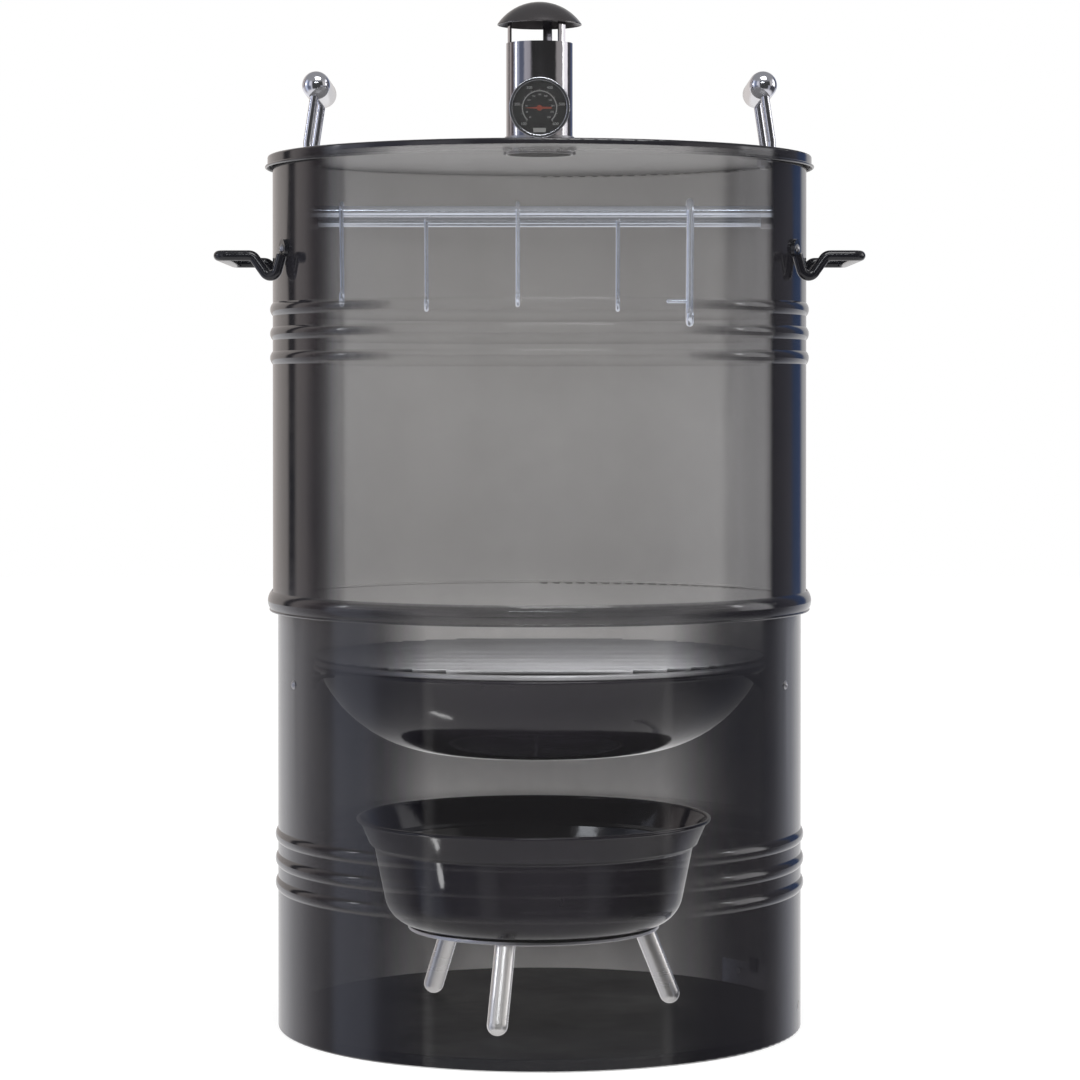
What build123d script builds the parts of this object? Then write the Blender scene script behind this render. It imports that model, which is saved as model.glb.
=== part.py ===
"""Vertical drum smoker: two stacked barrel sections, a lid with a chimney, hooks on
hanging bars, a cooking grate on a drip pan, and a small fire bowl on three legs.

Millimetres, +Z up. The origin is the centre of the base ring, on the ground.
The front faces -Y, and an angle is measured from the front towards +X.
"""
from build123d import *
import math
import os

# Fits between neighbours
SEAT = 0.3                # gap under a piece that lifts off its seat
FIT = 0.1                 # gap round a piece that is fixed to its neighbour
RUN = 0.3                 # gap round a piece that slides or swings
HOLE_FIT = 0.2            # radial gap between a bolt and its hole

# Barrel sections
SHEET = 1.0               # steel of the shells, lid and pans
LOWER_R = 282.5           # outside of the lower section
SECTION_STEP = 5.5        # how much wider the upper section is
LOWER_TOP = 462.0         # top of the lower section's curled edge
UPPER_HEIGHT = 473.4
CURL_R = 2.6              # radius of a curled edge
FOOT_FLANGE = 10.0        # width of the ring that the smoker stands on
SEAT_FLANGE = 8.0         # width of the upper section's seat
CORNER_R = 2.5            # bend at a flange
BEAD_W = 14.0             # height of one stiffening bead
BEAD_OUT = 2.8            # how far a bead stands out
BEAD_PITCH = 26.0
BEADS = 3
LOWER_BEAD_Z = 156.0      # middle of the lowest bead
UPPER_BEAD_RISE = 257.7   # lowest upper bead over the section's bottom

# Hoop that covers the joint between the sections
HOOP_OVER = 8.0           # hoop above the joint
HOOP_UNDER = 14.0         # hoop below the joint
HOOP_WALL = 1.2
HOOP_OUT = 5.5            # how far the hoop bulges beyond the upper section
HOOP_LIP_R = 1.6

# Floor plate and air vent
FLOOR_Z = 12.5            # top of the floor plate
VENT_R = 6.0
VENT_Z = 28.0
VENT_ANGLE = 77.9         # first vent hole
VENT_STEP = 11.0
VENTS = 4
STRIP_WALL = 1.2
STRIP_MARGIN = 11.9       # strip left before the first hole and after the knob, degrees
STRIP_OVER = 11.0         # strip above the middle of the holes
STUD_ANGLE = 126.0
STUD_R = 2.5
STUD_HEAD_R = 4.0
STUD_HEAD_T = 1.6
KNOB_R = 10.0
KNOB_LENGTH = 15.0
KNOB_GAP = 0.8            # between the shell and the knob
GUIDE_WIDTH = 2.8         # degrees
GUIDE_ANGLES = (72.2, 119.0)
GUIDE_T = 1.3
GUIDE_RISE = 7.0          # guide above the strip
GUIDE_LAP = 9.0           # guide over the strip

# Drip pan and its brackets
PAN_UNDER_TOP = 74.7      # middle of the pan's curl under the lower section's top
PAN_FLAT_R = 105.0
PAN_CLEARANCE = 40.9      # between the pan's wall and the shell
PAN_DEPTH = 91.3          # bottom to the middle of the curl
PAN_CURL_R = 2.4
BRACKET_ANGLES = (66.0, 114.0, 246.0, 294.0)
BRACKET_WIDTH = 5.0       # degrees
BRACKET_T = 2.0
BRACKET_DROP = 34.0       # height of the wall leg
BRACKET_LAP = 0.4         # how close the shelf comes to the pan's wall
BRACKET_BOLT_DROP = 9.0   # bolt under the shelf
SMALL_BOLT_R = 2.5
SMALL_HEAD_R = 4.8
SMALL_HEAD_T = 2.6
SMALL_NUT_T = 3.2

# Cooking grate
GRATE_OVER_WALL = 0.4     # middle of the ring's wire outside the pan's wall
GRATE_WIRE_R = 3.0
GRATE_BAR_R = 2.5
GRATE_PITCH = 18.5
WELD = 0.6                # depth that a bar sinks into the wire it is welded to
GRATE_STAY_X = 120.0      # cross stays, left and right of the middle

# Fire bowl
BOWL_X = -6.4             # the bowl stands a little left of the middle
BOWL_CLEAR = 95.5         # bowl over the floor plate
BOWL_WALL = 1.2
BOWL_FLAT_R = 126.0
BOWL_HEEL = (161.5, 30.0)        # radius, and height over the bottom
BOWL_SIDE = (167.0, 57.0)
BOWL_LEDGE_IN = (172.5, 84.5)
BOWL_LEDGE_OUT = (177.5, 88.0)
BOWL_FLARE = (183.0, 100.5)
BOWL_RIM = (188.6, 113.0)
BOWL_CURL_R = 2.2
BASE_RING_WIDTH = 28.0
BASE_RING_PROUD = 10.0    # ring beyond the flat of the bowl
BASE_RING_T = 4.0
LEG_R = 11.0
LEG_WALL = 1.5
LEG_SPREAD = 33.0         # how far out the foot stands from the top
LEG_ANGLES = (-14.0, 106.0, 226.0)
LEG_PLUG = 14.0           # length of the threaded plug in the top of the leg
LEG_BOLT_R = 3.0
LEG_HEAD_R = 5.5
LEG_HEAD_T = 3.6
FIRE_GRATE_OVER = 21.0    # middle of the ring's wire outside the flat of the bowl
FIRE_WIRE_R = 2.5
FIRE_PITCH = 20.0

# Hanging bars, their cradles and the hooks
BAR_R = 6.0
BAR_Y = 106.0
BAR_UNDER_TOP = 62.7      # bar under the top of the upper section
BAR_END_GAP = 9.6         # between the bar's end and the shell
CRADLE_WALL = 2.0
CRADLE_HOLD = 11.0        # length of bar that lies in a cradle
CRADLE_PLATE_T = 2.0
CRADLE_PLATE_H = 34.0
CRADLE_PLATE_W = 7.0      # degrees
HOOK_WIRE_R = 2.3
HOOK_DROP = 88.0          # between the middles of the two crooks
HOOK_BEND_R = 10.0
HOOK_POINT = 7.0
HOOKS = ((-208.0, -1), (-126.0, 1), (-23.0, -1), (87.0, 1))     # x, and which bar
HEAVY_HOOK_X = 158.0
HEAVY_WIRE_R = 4.0
HEAVY_DROP = 108.0
HEAVY_BEND_R = 9.0
PRONG_DROP = 94.0         # prong under the bar
PRONG_LENGTH = 22.0
PRONG_R = 2.4

# Side handles
SIDE_ROD_R = 5.5
SIDE_ANGLE = 68.0         # of the feet
SIDE_UNDER_TOP = 101.7    # foot bolt under the top of the upper section
SIDE_FOOT_R = 10.0
SIDE_FOOT_T = 4.0
SIDE_STANDOFF = 50.5      # middle of the grip's rod outside the shell
SIDE_HALF = 101.0         # half the grip's length
SIDE_GRIP_DROP = 7.0      # grip under the foot bolt
SIDE_DIP_DROP = 38.0      # dip under the foot bolt
SIDE_DIP_IN = 8.0         # dip inside the widest line of the shell
SIDE_SHOULDER = 14.0      # shoulder outside the widest line of the shell
SIDE_BEND_R = 8.0

# Lid
LID_RISE = 10.0           # height of the dome over its edge
LID_SHOULDER = 4.0        # flat ring inside the lid's corner
SKIRT_DEPTH = 13.5
HEM_R = 1.6
LID_ROD_R = 4.5
LID_GRIP_R = 15.0
LID_GRIP_HALF = 46.0
LID_GRIP_RISE = 73.0      # grip over the lid's edge
LID_LEAN = 9.0            # how far the grip leans in from the feet
LID_FOOT_IN = 41.0        # feet inside the widest line of the shell
LID_FOOT_Y = 60.0
LID_KNEE = 10.0           # straight foot over the lid
LID_FOOT_LENGTH = 10.0    # thread under the lid
LID_BEND_R = 10.0
LID_NUT_R = 8.0
LID_NUT_T = 6.0
COLLAR_R = 9.0
COLLAR_T = 3.0

# Chimney and hat
CHIMNEY_R = 36.0
CHIMNEY_WALL = 1.2
CHIMNEY_RISE = 123.0      # top of the tube over the lid's edge
CHIMNEY_UNDER = 6.0       # tube under the lid
FLANGE_R = 58.0
FLANGE_T = 1.5
FLANGE_SLEEVE = 12.0
FLANGE_BOLTS = 4
FLANGE_BOLT_RING = 49.0
HAT_OVERHANG = 9.5        # hat beyond the tube
HAT_GAP = 20.0            # between the tube and the hat's edge
HAT_DOME = 24.0
HAT_BRIM = 1.0
STRAPS = 3
STRAP_ANGLE = 45.0        # first strap
STRAP_W = 10.0
STRAP_T = 2.0
STRAP_HOLD = 22.0         # strap inside the tube
STRAP_TAB = 12.0

# Thermometer
DIAL_RISE = 50.0          # middle of the dial over the lid's edge
CASE_R = 31.5
CASE_WALL = 1.0
CASE_DEPTH = 10.0
CASE_GAP = 3.0            # between the chimney and the case
BEZEL_R = 32.5
BEZEL_IN_R = 29.0
BEZEL_T = 3.5
DIAL_T = 0.8
GLASS_T = 1.5
BOSS_R = 6.0
PROBE_R = 2.0
PROBE_LENGTH = 48.0
NEEDLE_T = 0.6
NEEDLE_TIP = 16.0
NEEDLE_TAIL = 13.0
HUB_R = 3.0
PIN_R = 0.8

# Worked out from the above
LOWER_IN = LOWER_R - SHEET
UPPER_R = LOWER_R + SECTION_STEP
UPPER_IN = UPPER_R - SHEET
UPPER_BOTTOM = LOWER_TOP + SEAT
UPPER_TOP = UPPER_BOTTOM + UPPER_HEIGHT
UPPER_BEAD_Z = UPPER_BOTTOM + UPPER_BEAD_RISE
HOOP_TOP = LOWER_TOP + HOOP_OVER
HOOP_BOTTOM = LOWER_TOP - HOOP_UNDER
PAN_WALL_R = LOWER_IN - PAN_CLEARANCE
PAN_BOTTOM_Z = LOWER_TOP - PAN_UNDER_TOP - PAN_DEPTH
GRATE_RING_R = PAN_WALL_R + GRATE_OVER_WALL
BOWL_BOTTOM_Z = FLOOR_Z + BOWL_CLEAR
BASE_RING_OUT = BOWL_FLAT_R + BASE_RING_PROUD
BASE_RING_IN = BASE_RING_OUT - BASE_RING_WIDTH
LEG_TOP_R = (BASE_RING_IN + BASE_RING_OUT) / 2
LEG_FOOT_R = LEG_TOP_R + LEG_SPREAD
FIRE_GRATE_R = BOWL_FLAT_R + FIRE_GRATE_OVER
BAR_Z = UPPER_TOP - BAR_UNDER_TOP
BAR_HALF = math.sqrt(UPPER_IN**2 - BAR_Y**2) - BAR_END_GAP
SIDE_FOOT_Z = UPPER_TOP - SIDE_UNDER_TOP
LID_EDGE_Z = UPPER_TOP + SEAT + SHEET
LID_FOOT_X = UPPER_R - LID_FOOT_IN
LID_GRIP_X = LID_FOOT_X - LID_LEAN
LID_GRIP_Z = LID_EDGE_Z + LID_GRIP_RISE
CHIMNEY_TOP = LID_EDGE_Z + CHIMNEY_RISE
HAT_R = CHIMNEY_R + HAT_OVERHANG
HAT_EDGE_Z = CHIMNEY_TOP + HAT_GAP
HAT_TOP_Z = HAT_EDGE_Z + HAT_BRIM + HAT_DOME
DIAL_Z = LID_EDGE_Z + DIAL_RISE
CURL_OUT = UPPER_R - SHEET + 2 * CURL_R
SKIRT_R = CURL_OUT + RUN + SHEET


def polar(radius, angle, z=0.0):
    """Point on a circle round Z, the angle measured from the front towards +X."""
    turn = math.radians(angle)
    return (radius * math.sin(turn), -radius * math.cos(turn), z)


def facing(radius, angle, z):
    """Place on a circle round Z whose local X points outward and local Z up."""
    return Location(polar(radius, angle, z), (0, 0, angle - 90))


def spun(face):
    """Spin a face drawn as (radius, height) round Z."""
    return revolve(Plane.XZ * face, Axis.Z)


def sheet(pieces, wall, side=Side.LEFT):
    """Give an open path of (radius, height) a wall on one side of it."""
    path = Wire([edge for piece in pieces for edge in piece.edges()])
    return make_face(path.offset_2d(wall, side=side, kind=Kind.ARC))


def ring_segment(inner, outer, bottom, top, start, end):
    """Piece of a ring round Z between two angles."""
    section = Pos((inner + outer) / 2, (bottom + top) / 2) * Rectangle(outer - inner, top - bottom)
    return Rot(0, 0, start - 90) * revolve(Plane.XZ * section, Axis.Z, end - start)


def radial_rod(inner, outer, angle, z, radius):
    """Round rod that points straight out from Z."""
    place = facing((inner + outer) / 2, angle, z) * Rot(0, 90, 0)
    return place * Cylinder(radius, outer - inner)


def upright_rod(x, y, bottom, top, radius):
    """Round rod along Z."""
    return Pos(x, y, (bottom + top) / 2) * Cylinder(radius, top - bottom)


def bent_rod(points, bend, radius):
    """Round rod along a path with one bend radius."""
    path = FilletPolyline(*points, radius=bend)
    return sweep(Plane(origin=path @ 0, z_dir=path % 0) * Circle(radius), path=path)


def dome_head(radius, thickness):
    """Low round bolt head on the XY plane."""
    crown = (radius**2 + thickness**2) / (2 * thickness)
    return split(Pos(0, 0, thickness - crown) * Sphere(crown), Plane.XY, keep=Keep.TOP)


def beaded_path(radius, bottom, top, first_bead):
    """Wall going up at one radius, with its stiffening beads."""
    edges = []
    z = bottom
    for count in range(BEADS):
        middle = first_bead + count * BEAD_PITCH
        low, high = middle - BEAD_W / 2, middle + BEAD_W / 2
        edges.append(Line((radius, z), (radius, low)))
        edges.append(ThreePointArc((radius, low), (radius + BEAD_OUT, middle), (radius, high)))
        z = high
    edges.append(Line((radius, z), (radius, top)))
    return edges


def barrel(radius, bottom, top, flange, first_bead):
    """Beaded drum section with a flange turned in below and a curled top edge."""
    foot = FilletPolyline(
        (radius - flange, bottom), (radius, bottom), (radius, bottom + 2 * CORNER_R), radius=CORNER_R)
    wall = beaded_path(radius, bottom + 2 * CORNER_R, top - CURL_R, first_bead)
    section = sheet([foot, *wall], SHEET)
    section += Pos(radius - SHEET + CURL_R, top - CURL_R) * Circle(CURL_R)
    return spun(section)


def vent_angles():
    """Angles of the air holes."""
    return [VENT_ANGLE + count * VENT_STEP for count in range(VENTS)]


def lower_shell():
    """Lower barrel section with its air holes, knob slot and bracket holes."""
    shell = barrel(LOWER_R, 0, LOWER_TOP, FOOT_FLANGE, LOWER_BEAD_Z)
    deep, out = LOWER_IN - 2 * SHEET, LOWER_R + 2 * SHEET
    for angle in vent_angles():
        shell -= radial_rod(deep, out, angle, VENT_Z, VENT_R)
    shell -= knob_slot(deep, out)
    for angle in BRACKET_ANGLES:
        shell -= radial_rod(deep, out, angle, bracket_bolt_z(), SMALL_BOLT_R + HOLE_FIT)
    return shell


def shutter_travel():
    """Angle that closes the air holes: half the step between them."""
    return VENT_STEP / 2


def knob_slot(inner, outer):
    """Slot in which the knob's stud travels."""
    half = STUD_R + RUN
    end = STUD_ANGLE + shutter_travel()
    slot = ring_segment(inner, outer, VENT_Z - half, VENT_Z + half, STUD_ANGLE, end)
    slot += radial_rod(inner, outer, STUD_ANGLE, VENT_Z, half)
    slot += radial_rod(inner, outer, end, VENT_Z, half)
    return slot


def floor_plate():
    """Shallow upturned tray that stands on the foot flange."""
    edge = LOWER_IN - (CORNER_R - SHEET) - FIT
    path = FilletPolyline((0, FLOOR_Z), (edge, FLOOR_Z), (edge, SHEET), radius=CORNER_R)
    return spun(sheet([path], SHEET, Side.RIGHT))


def shutter_strip():
    """Curved strip with holes that slides behind the air holes."""
    outer = LOWER_IN - RUN
    inner = outer - STRIP_WALL
    start, end = VENT_ANGLE - STRIP_MARGIN, STUD_ANGLE + STRIP_MARGIN / 2
    strip = ring_segment(inner, outer, FLOOR_Z + SEAT, VENT_Z + STRIP_OVER, start, end)
    for angle in vent_angles():
        strip -= radial_rod(inner - SHEET, outer + SHEET, angle, VENT_Z, VENT_R)
    strip -= radial_rod(inner - SHEET, outer + SHEET, STUD_ANGLE, VENT_Z, STUD_R + FIT)
    return strip


def shutter_knob():
    """Turned knob on a stud that is riveted through the strip."""
    strip_in = LOWER_IN - RUN - STRIP_WALL
    face = LOWER_R + KNOB_GAP
    outline = FilletPolyline(
        (0, 0), (KNOB_R * 0.7, 0), (KNOB_R, KNOB_LENGTH * 0.45), (KNOB_R, KNOB_LENGTH),
        (0, KNOB_LENGTH), radius=1.5)
    knob = revolve(Plane.XZ * make_face([*outline.edges(), Line(outline @ 1, outline @ 0)]), Axis.Z)
    place = facing(face, STUD_ANGLE, VENT_Z) * Rot(0, 90, 0)
    stud = radial_rod(strip_in - FIT - STUD_HEAD_T, face + SHEET, STUD_ANGLE, VENT_Z, STUD_R)
    head = radial_rod(strip_in - FIT - STUD_HEAD_T, strip_in - FIT, STUD_ANGLE, VENT_Z, STUD_HEAD_R)
    return place * knob + stud + head


def shutter_guide(angle):
    """Clip on the wall that holds the strip's upper edge."""
    inner = LOWER_IN - 2 * RUN - STRIP_WALL
    top = VENT_Z + STRIP_OVER
    end = angle + GUIDE_WIDTH
    foot = ring_segment(inner - GUIDE_T, LOWER_IN - FIT, top + SEAT, top + GUIDE_RISE, angle, end)
    lip = ring_segment(inner - GUIDE_T, inner, top - GUIDE_LAP, top + GUIDE_RISE, angle, end)
    return foot + lip


def shelf_top():
    """Height of the bracket shelves, just under the pan's curl."""
    return PAN_BOTTOM_Z + PAN_DEPTH - PAN_CURL_R - SEAT


def bracket_bolt_z():
    """Height of the bolt through each bracket."""
    return shelf_top() - BRACKET_BOLT_DROP


def pan_bracket(angle):
    """Bent bracket with a gusset that carries the drip pan."""
    top = shelf_top()
    wall = LOWER_IN - FIT
    start, end = angle - BRACKET_WIDTH / 2, angle + BRACKET_WIDTH / 2
    inner = PAN_WALL_R + BRACKET_LAP
    shelf = ring_segment(inner, wall, top - BRACKET_T, top, start, end)
    leg = ring_segment(wall - BRACKET_T, wall, top - BRACKET_DROP, top, start, end)
    web = Polyline(
        (inner + BRACKET_T, top - BRACKET_T / 2), (wall - BRACKET_T / 2, top - BRACKET_T / 2),
        (wall - BRACKET_T / 2, top - BRACKET_DROP * 0.8), close=True)
    web = Rot(0, 0, start - 90) * revolve(Plane.XZ * make_face(web), Axis.Z, BRACKET_WIDTH / 8)
    hole = radial_rod(wall - 2 * BRACKET_T, wall + SHEET, angle, bracket_bolt_z(), SMALL_BOLT_R + HOLE_FIT)
    return shelf + leg + web - hole


def wall_bolt(inner, outer, angle, z):
    """Dome-headed bolt through a wall, its nut locked on at the inside."""
    bolt = radial_rod(inner - SMALL_NUT_T, outer, angle, z, SMALL_BOLT_R)
    head = facing(outer + FIT, angle, z) * Rot(0, 90, 0) * dome_head(SMALL_HEAD_R, SMALL_HEAD_T)
    nut = facing(inner - FIT, angle, z) * Rot(0, -90, 0)
    nut = nut * extrude(RegularPolygon(SMALL_HEAD_R, 6), SMALL_NUT_T)
    return bolt + head + nut + radial_rod(outer - SHEET, outer + SHEET, angle, z, SMALL_BOLT_R)


def bracket_bolts():
    """Bolts that hold the pan brackets to the wall."""
    inner = LOWER_IN - FIT - BRACKET_T
    return Compound(children=[
        wall_bolt(inner, LOWER_R, angle, bracket_bolt_z()) for angle in BRACKET_ANGLES])


def drip_pan():
    """Enamelled bowl under the grate, with a curled rim."""
    rim_z = PAN_BOTTOM_Z + PAN_DEPTH
    flat = Line((0, PAN_BOTTOM_Z), (PAN_FLAT_R, PAN_BOTTOM_Z))
    side = TangentArc((PAN_FLAT_R, PAN_BOTTOM_Z), (PAN_WALL_R, rim_z), tangent=(1, 0))
    section = sheet([flat, side], SHEET)
    section += Pos(PAN_WALL_R + PAN_CURL_R - SHEET / 2, rim_z) * Circle(PAN_CURL_R)
    return spun(section)


def wire_grate(ring_r, ring_z, wire_r, bar_r, pitch):
    """Ring of wire with straight bars welded across it, as many as there is room for."""
    grate = Pos(0, 0, ring_z) * Torus(ring_r, wire_r)
    bar_z = ring_z + wire_r + bar_r - WELD
    bars = 2 * int((ring_r - pitch / 2) / pitch) + 1
    for count in range(bars):
        y = (count - (bars - 1) / 2) * pitch
        half = math.sqrt(ring_r**2 - y**2) + bar_r / 2
        grate += Pos(0, y, bar_z) * Rot(0, 90, 0) * Cylinder(bar_r, 2 * half)
    return grate


def cooking_grate():
    """Wire grate that rests on the rim of the drip pan."""
    ring_z = PAN_BOTTOM_Z + PAN_DEPTH + PAN_CURL_R + SEAT + GRATE_WIRE_R
    grate = wire_grate(GRATE_RING_R, ring_z, GRATE_WIRE_R, GRATE_BAR_R, GRATE_PITCH)
    half = math.sqrt(GRATE_RING_R**2 - GRATE_STAY_X**2)
    for x in (-GRATE_STAY_X, GRATE_STAY_X):
        grate += Pos(x, 0, ring_z) * Rot(90, 0, 0) * Cylinder(GRATE_WIRE_R, 2 * half)
    return grate


def bowl_point(spot):
    """A bowl profile point with its height over the ground."""
    return (spot[0], BOWL_BOTTOM_Z + spot[1])


def bowl_heel_radius():
    """Radius of the arc that turns the bowl's bottom up into its side."""
    reach = BOWL_HEEL[0] - BOWL_FLAT_R
    return (reach**2 + BOWL_HEEL[1]**2) / (2 * BOWL_HEEL[1])


def fire_bowl():
    """Enamelled brazier bowl with a ledge, a flare and a curled rim."""
    flat = Line((0, BOWL_BOTTOM_Z), (BOWL_FLAT_R, BOWL_BOTTOM_Z))
    heel = TangentArc((BOWL_FLAT_R, BOWL_BOTTOM_Z), bowl_point(BOWL_HEEL), tangent=(1, 0))
    spots = (BOWL_HEEL, BOWL_SIDE, BOWL_LEDGE_IN, BOWL_LEDGE_OUT, BOWL_FLARE, BOWL_RIM)
    side = FilletPolyline(*[bowl_point(spot) for spot in spots], radius=2.0)
    section = sheet([flat, heel, side], BOWL_WALL)
    rim_r, rim_z = bowl_point(BOWL_RIM)
    section += Pos(rim_r + BOWL_CURL_R / 2, rim_z + BOWL_CURL_R / 2) * Circle(BOWL_CURL_R)
    bowl = spun(section)
    for angle in LEG_ANGLES:
        x, y, _ = polar(LEG_TOP_R, angle)
        bowl -= upright_rod(x, y, BOWL_BOTTOM_Z - BOWL_WALL, BOWL_BOTTOM_Z + 3 * BOWL_WALL,
                            LEG_BOLT_R + HOLE_FIT)
    return Pos(BOWL_X, 0, 0) * bowl


def base_ring():
    """Flat ring under the bowl that the legs are bolted to."""
    top = BOWL_BOTTOM_Z - FIT
    section = Pos((BASE_RING_IN + BASE_RING_OUT) / 2, top - BASE_RING_T / 2)
    ring = spun(section * Rectangle(BASE_RING_OUT - BASE_RING_IN, BASE_RING_T))
    ring = fillet(ring.edges().filter_by(GeomType.CIRCLE), 0.8)
    for angle in LEG_ANGLES:
        x, y, _ = polar(LEG_TOP_R, angle)
        ring -= upright_rod(x, y, top - 2 * BASE_RING_T, top + BASE_RING_T, LEG_BOLT_R + HOLE_FIT)
    return Pos(BOWL_X, 0, 0) * ring


def leg_top_z():
    """Underside of the base ring, less the fit."""
    return BOWL_BOTTOM_Z - BASE_RING_T - 2 * FIT


def leg(angle):
    """Splayed tube with a round foot and a threaded plug in its top."""
    foot_z = FLOOR_Z + SEAT + LEG_R
    top = Vector(LEG_TOP_R, 0, leg_top_z())
    foot = Vector(LEG_FOOT_R, 0, foot_z)
    axis = Plane(origin=foot, z_dir=top - foot)
    length = (top - foot).length + LEG_R
    tube = axis * Pos(0, 0, length / 2) * Cylinder(LEG_R, length)
    tube += axis * Sphere(LEG_R)
    bore = axis * Pos(0, 0, length / 2) * Cylinder(LEG_R - LEG_WALL, length)
    hollow = split(bore, Plane.XY.offset(leg_top_z() - LEG_PLUG), keep=Keep.BOTTOM)
    tube = split(tube, Plane.XY.offset(leg_top_z()), keep=Keep.BOTTOM) - hollow
    tube -= upright_rod(LEG_TOP_R, 0, leg_top_z() - LEG_PLUG, leg_top_z() + FIT, LEG_BOLT_R + FIT)
    return Pos(BOWL_X, 0, 0) * Rot(0, 0, angle - 90) * tube


def leg_bolt(angle):
    """Bolt from inside the bowl down into a leg."""
    x, y, _ = polar(LEG_TOP_R, angle)
    seat = BOWL_BOTTOM_Z + BOWL_WALL + FIT
    bolt = upright_rod(x, y, leg_top_z() - LEG_PLUG * 0.7, seat, LEG_BOLT_R)
    bolt += Pos(x, y, seat) * dome_head(LEG_HEAD_R, LEG_HEAD_T)
    return Pos(BOWL_X, 0, 0) * bolt


def fire_grate():
    """Charcoal grate that lies in the curve of the bowl."""
    heel = bowl_heel_radius()
    reach = heel - BOWL_WALL - FIRE_WIRE_R - SEAT
    ring_z = BOWL_BOTTOM_Z + heel - math.sqrt(reach**2 - (FIRE_GRATE_R - BOWL_FLAT_R)**2)
    grate = wire_grate(FIRE_GRATE_R, ring_z, FIRE_WIRE_R, FIRE_WIRE_R, FIRE_PITCH)
    grate += Pos(0, 0, ring_z) * Rot(90, 0, 0) * Cylinder(FIRE_WIRE_R, 2 * FIRE_GRATE_R)
    return Pos(BOWL_X, 0, 0) * grate


def upper_shell():
    """Upper barrel section with the holes for its handle bolts."""
    shell = barrel(UPPER_R, UPPER_BOTTOM, UPPER_TOP, SEAT_FLANGE, UPPER_BEAD_Z)
    for angle in side_angles():
        shell -= radial_rod(UPPER_IN - SHEET, UPPER_R + SHEET, angle, SIDE_FOOT_Z, SMALL_BOLT_R + HOLE_FIT)
    return shell


def joint_hoop():
    """Rolled hoop that covers the joint and centres the upper section."""
    inner = UPPER_R + FIT
    bulge = UPPER_R + HOOP_OUT
    lip_z = HOOP_BOTTOM + HOOP_LIP_R
    low = (inner + HOOP_WALL + 1.0, lip_z)
    high = (inner + HOOP_WALL, HOOP_TOP)
    arc = ThreePointArc(low, (bulge, (lip_z + HOOP_TOP) / 2), high)
    section = sheet([arc], HOOP_WALL)
    section += Pos(low[0] - HOOP_WALL / 2 + 0.5, lip_z) * Circle(HOOP_LIP_R)
    return spun(section)


def side_angles():
    """Angles of the four handle feet: right front, right back, left back, left front."""
    return (SIDE_ANGLE, 180 - SIDE_ANGLE, 180 + SIDE_ANGLE, 360 - SIDE_ANGLE)


def side_handle(side):
    """Bent rod handle with a flat foot at each end."""
    seat = UPPER_R + FIT
    start = polar(seat + SIDE_FOOT_T / 2 + 2, SIDE_ANGLE, SIDE_FOOT_Z - SIDE_FOOT_R * 0.6)
    dip = (UPPER_R - SIDE_DIP_IN, (start[1] - SIDE_HALF) / 2, SIDE_FOOT_Z - SIDE_DIP_DROP)
    grip_z = SIDE_FOOT_Z - SIDE_GRIP_DROP
    half = [start, dip, (UPPER_R + SIDE_SHOULDER, -SIDE_HALF, grip_z),
            (UPPER_R + SIDE_STANDOFF, -SIDE_HALF, grip_z)]
    points = half + [(x, -y, z) for x, y, z in reversed(half)]
    handle = bent_rod(points, SIDE_BEND_R, SIDE_ROD_R)
    for angle in side_angles()[:2]:
        handle += radial_rod(seat, seat + SIDE_FOOT_T, angle, SIDE_FOOT_Z, SIDE_FOOT_R)
    handle -= Pos(0, 0, SIDE_FOOT_Z) * Cylinder(seat, 8 * SIDE_FOOT_R)
    for angle in side_angles()[:2]:
        handle -= radial_rod(seat - SHEET, seat + SIDE_FOOT_T + SHEET, angle, SIDE_FOOT_Z,
                             SMALL_BOLT_R + HOLE_FIT)
    return handle if side > 0 else Rot(0, 0, 180) * handle


def side_bolts():
    """Bolts through the handle feet and the wall."""
    outer = UPPER_R + FIT + SIDE_FOOT_T
    return Compound(children=[
        wall_bolt(UPPER_IN, outer, angle, SIDE_FOOT_Z) for angle in side_angles()])


def bar_cradle(side_x, side_y):
    """Open cradle on the wall that carries the end of a hanging bar."""
    wall = UPPER_IN - FIT
    inner = BAR_R + RUN
    outer = inner + CRADLE_WALL
    end_x = UPPER_R
    trough = Circle(outer) - Circle(inner)
    trough &= Pos(0, -outer / 2) * Rectangle(2 * outer, outer)
    for edge in (-1, 1):
        trough += Pos(edge * (inner + outer) / 2, BAR_R / 2) * Rectangle(CRADLE_WALL, BAR_R)
    start_x = BAR_HALF - CRADLE_HOLD
    plane = Plane(origin=(start_x, BAR_Y, BAR_Z), x_dir=(0, 1, 0), z_dir=(1, 0, 0))
    cradle = extrude(plane * trough, end_x - start_x)
    cradle &= Pos(0, 0, BAR_Z) * Cylinder(wall, 8 * BAR_R)
    middle = 90 + math.degrees(math.asin(BAR_Y / wall))
    plate = ring_segment(wall - CRADLE_PLATE_T, wall, BAR_Z - CRADLE_PLATE_H / 2, BAR_Z + CRADLE_PLATE_H / 2,
                         middle - CRADLE_PLATE_W / 2, middle + CRADLE_PLATE_W / 2)
    cradle += plate
    if side_y < 0:
        cradle = mirror(cradle, Plane.XZ)
    if side_x < 0:
        cradle = mirror(cradle, Plane.YZ)
    return cradle


def hanging_bar(side_y):
    """Round bar with chamfered ends."""
    bar = Pos(0, side_y * BAR_Y, BAR_Z) * Rot(0, 90, 0) * Cylinder(BAR_R, 2 * BAR_HALF)
    return chamfer(bar.edges(), 1.0)


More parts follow.
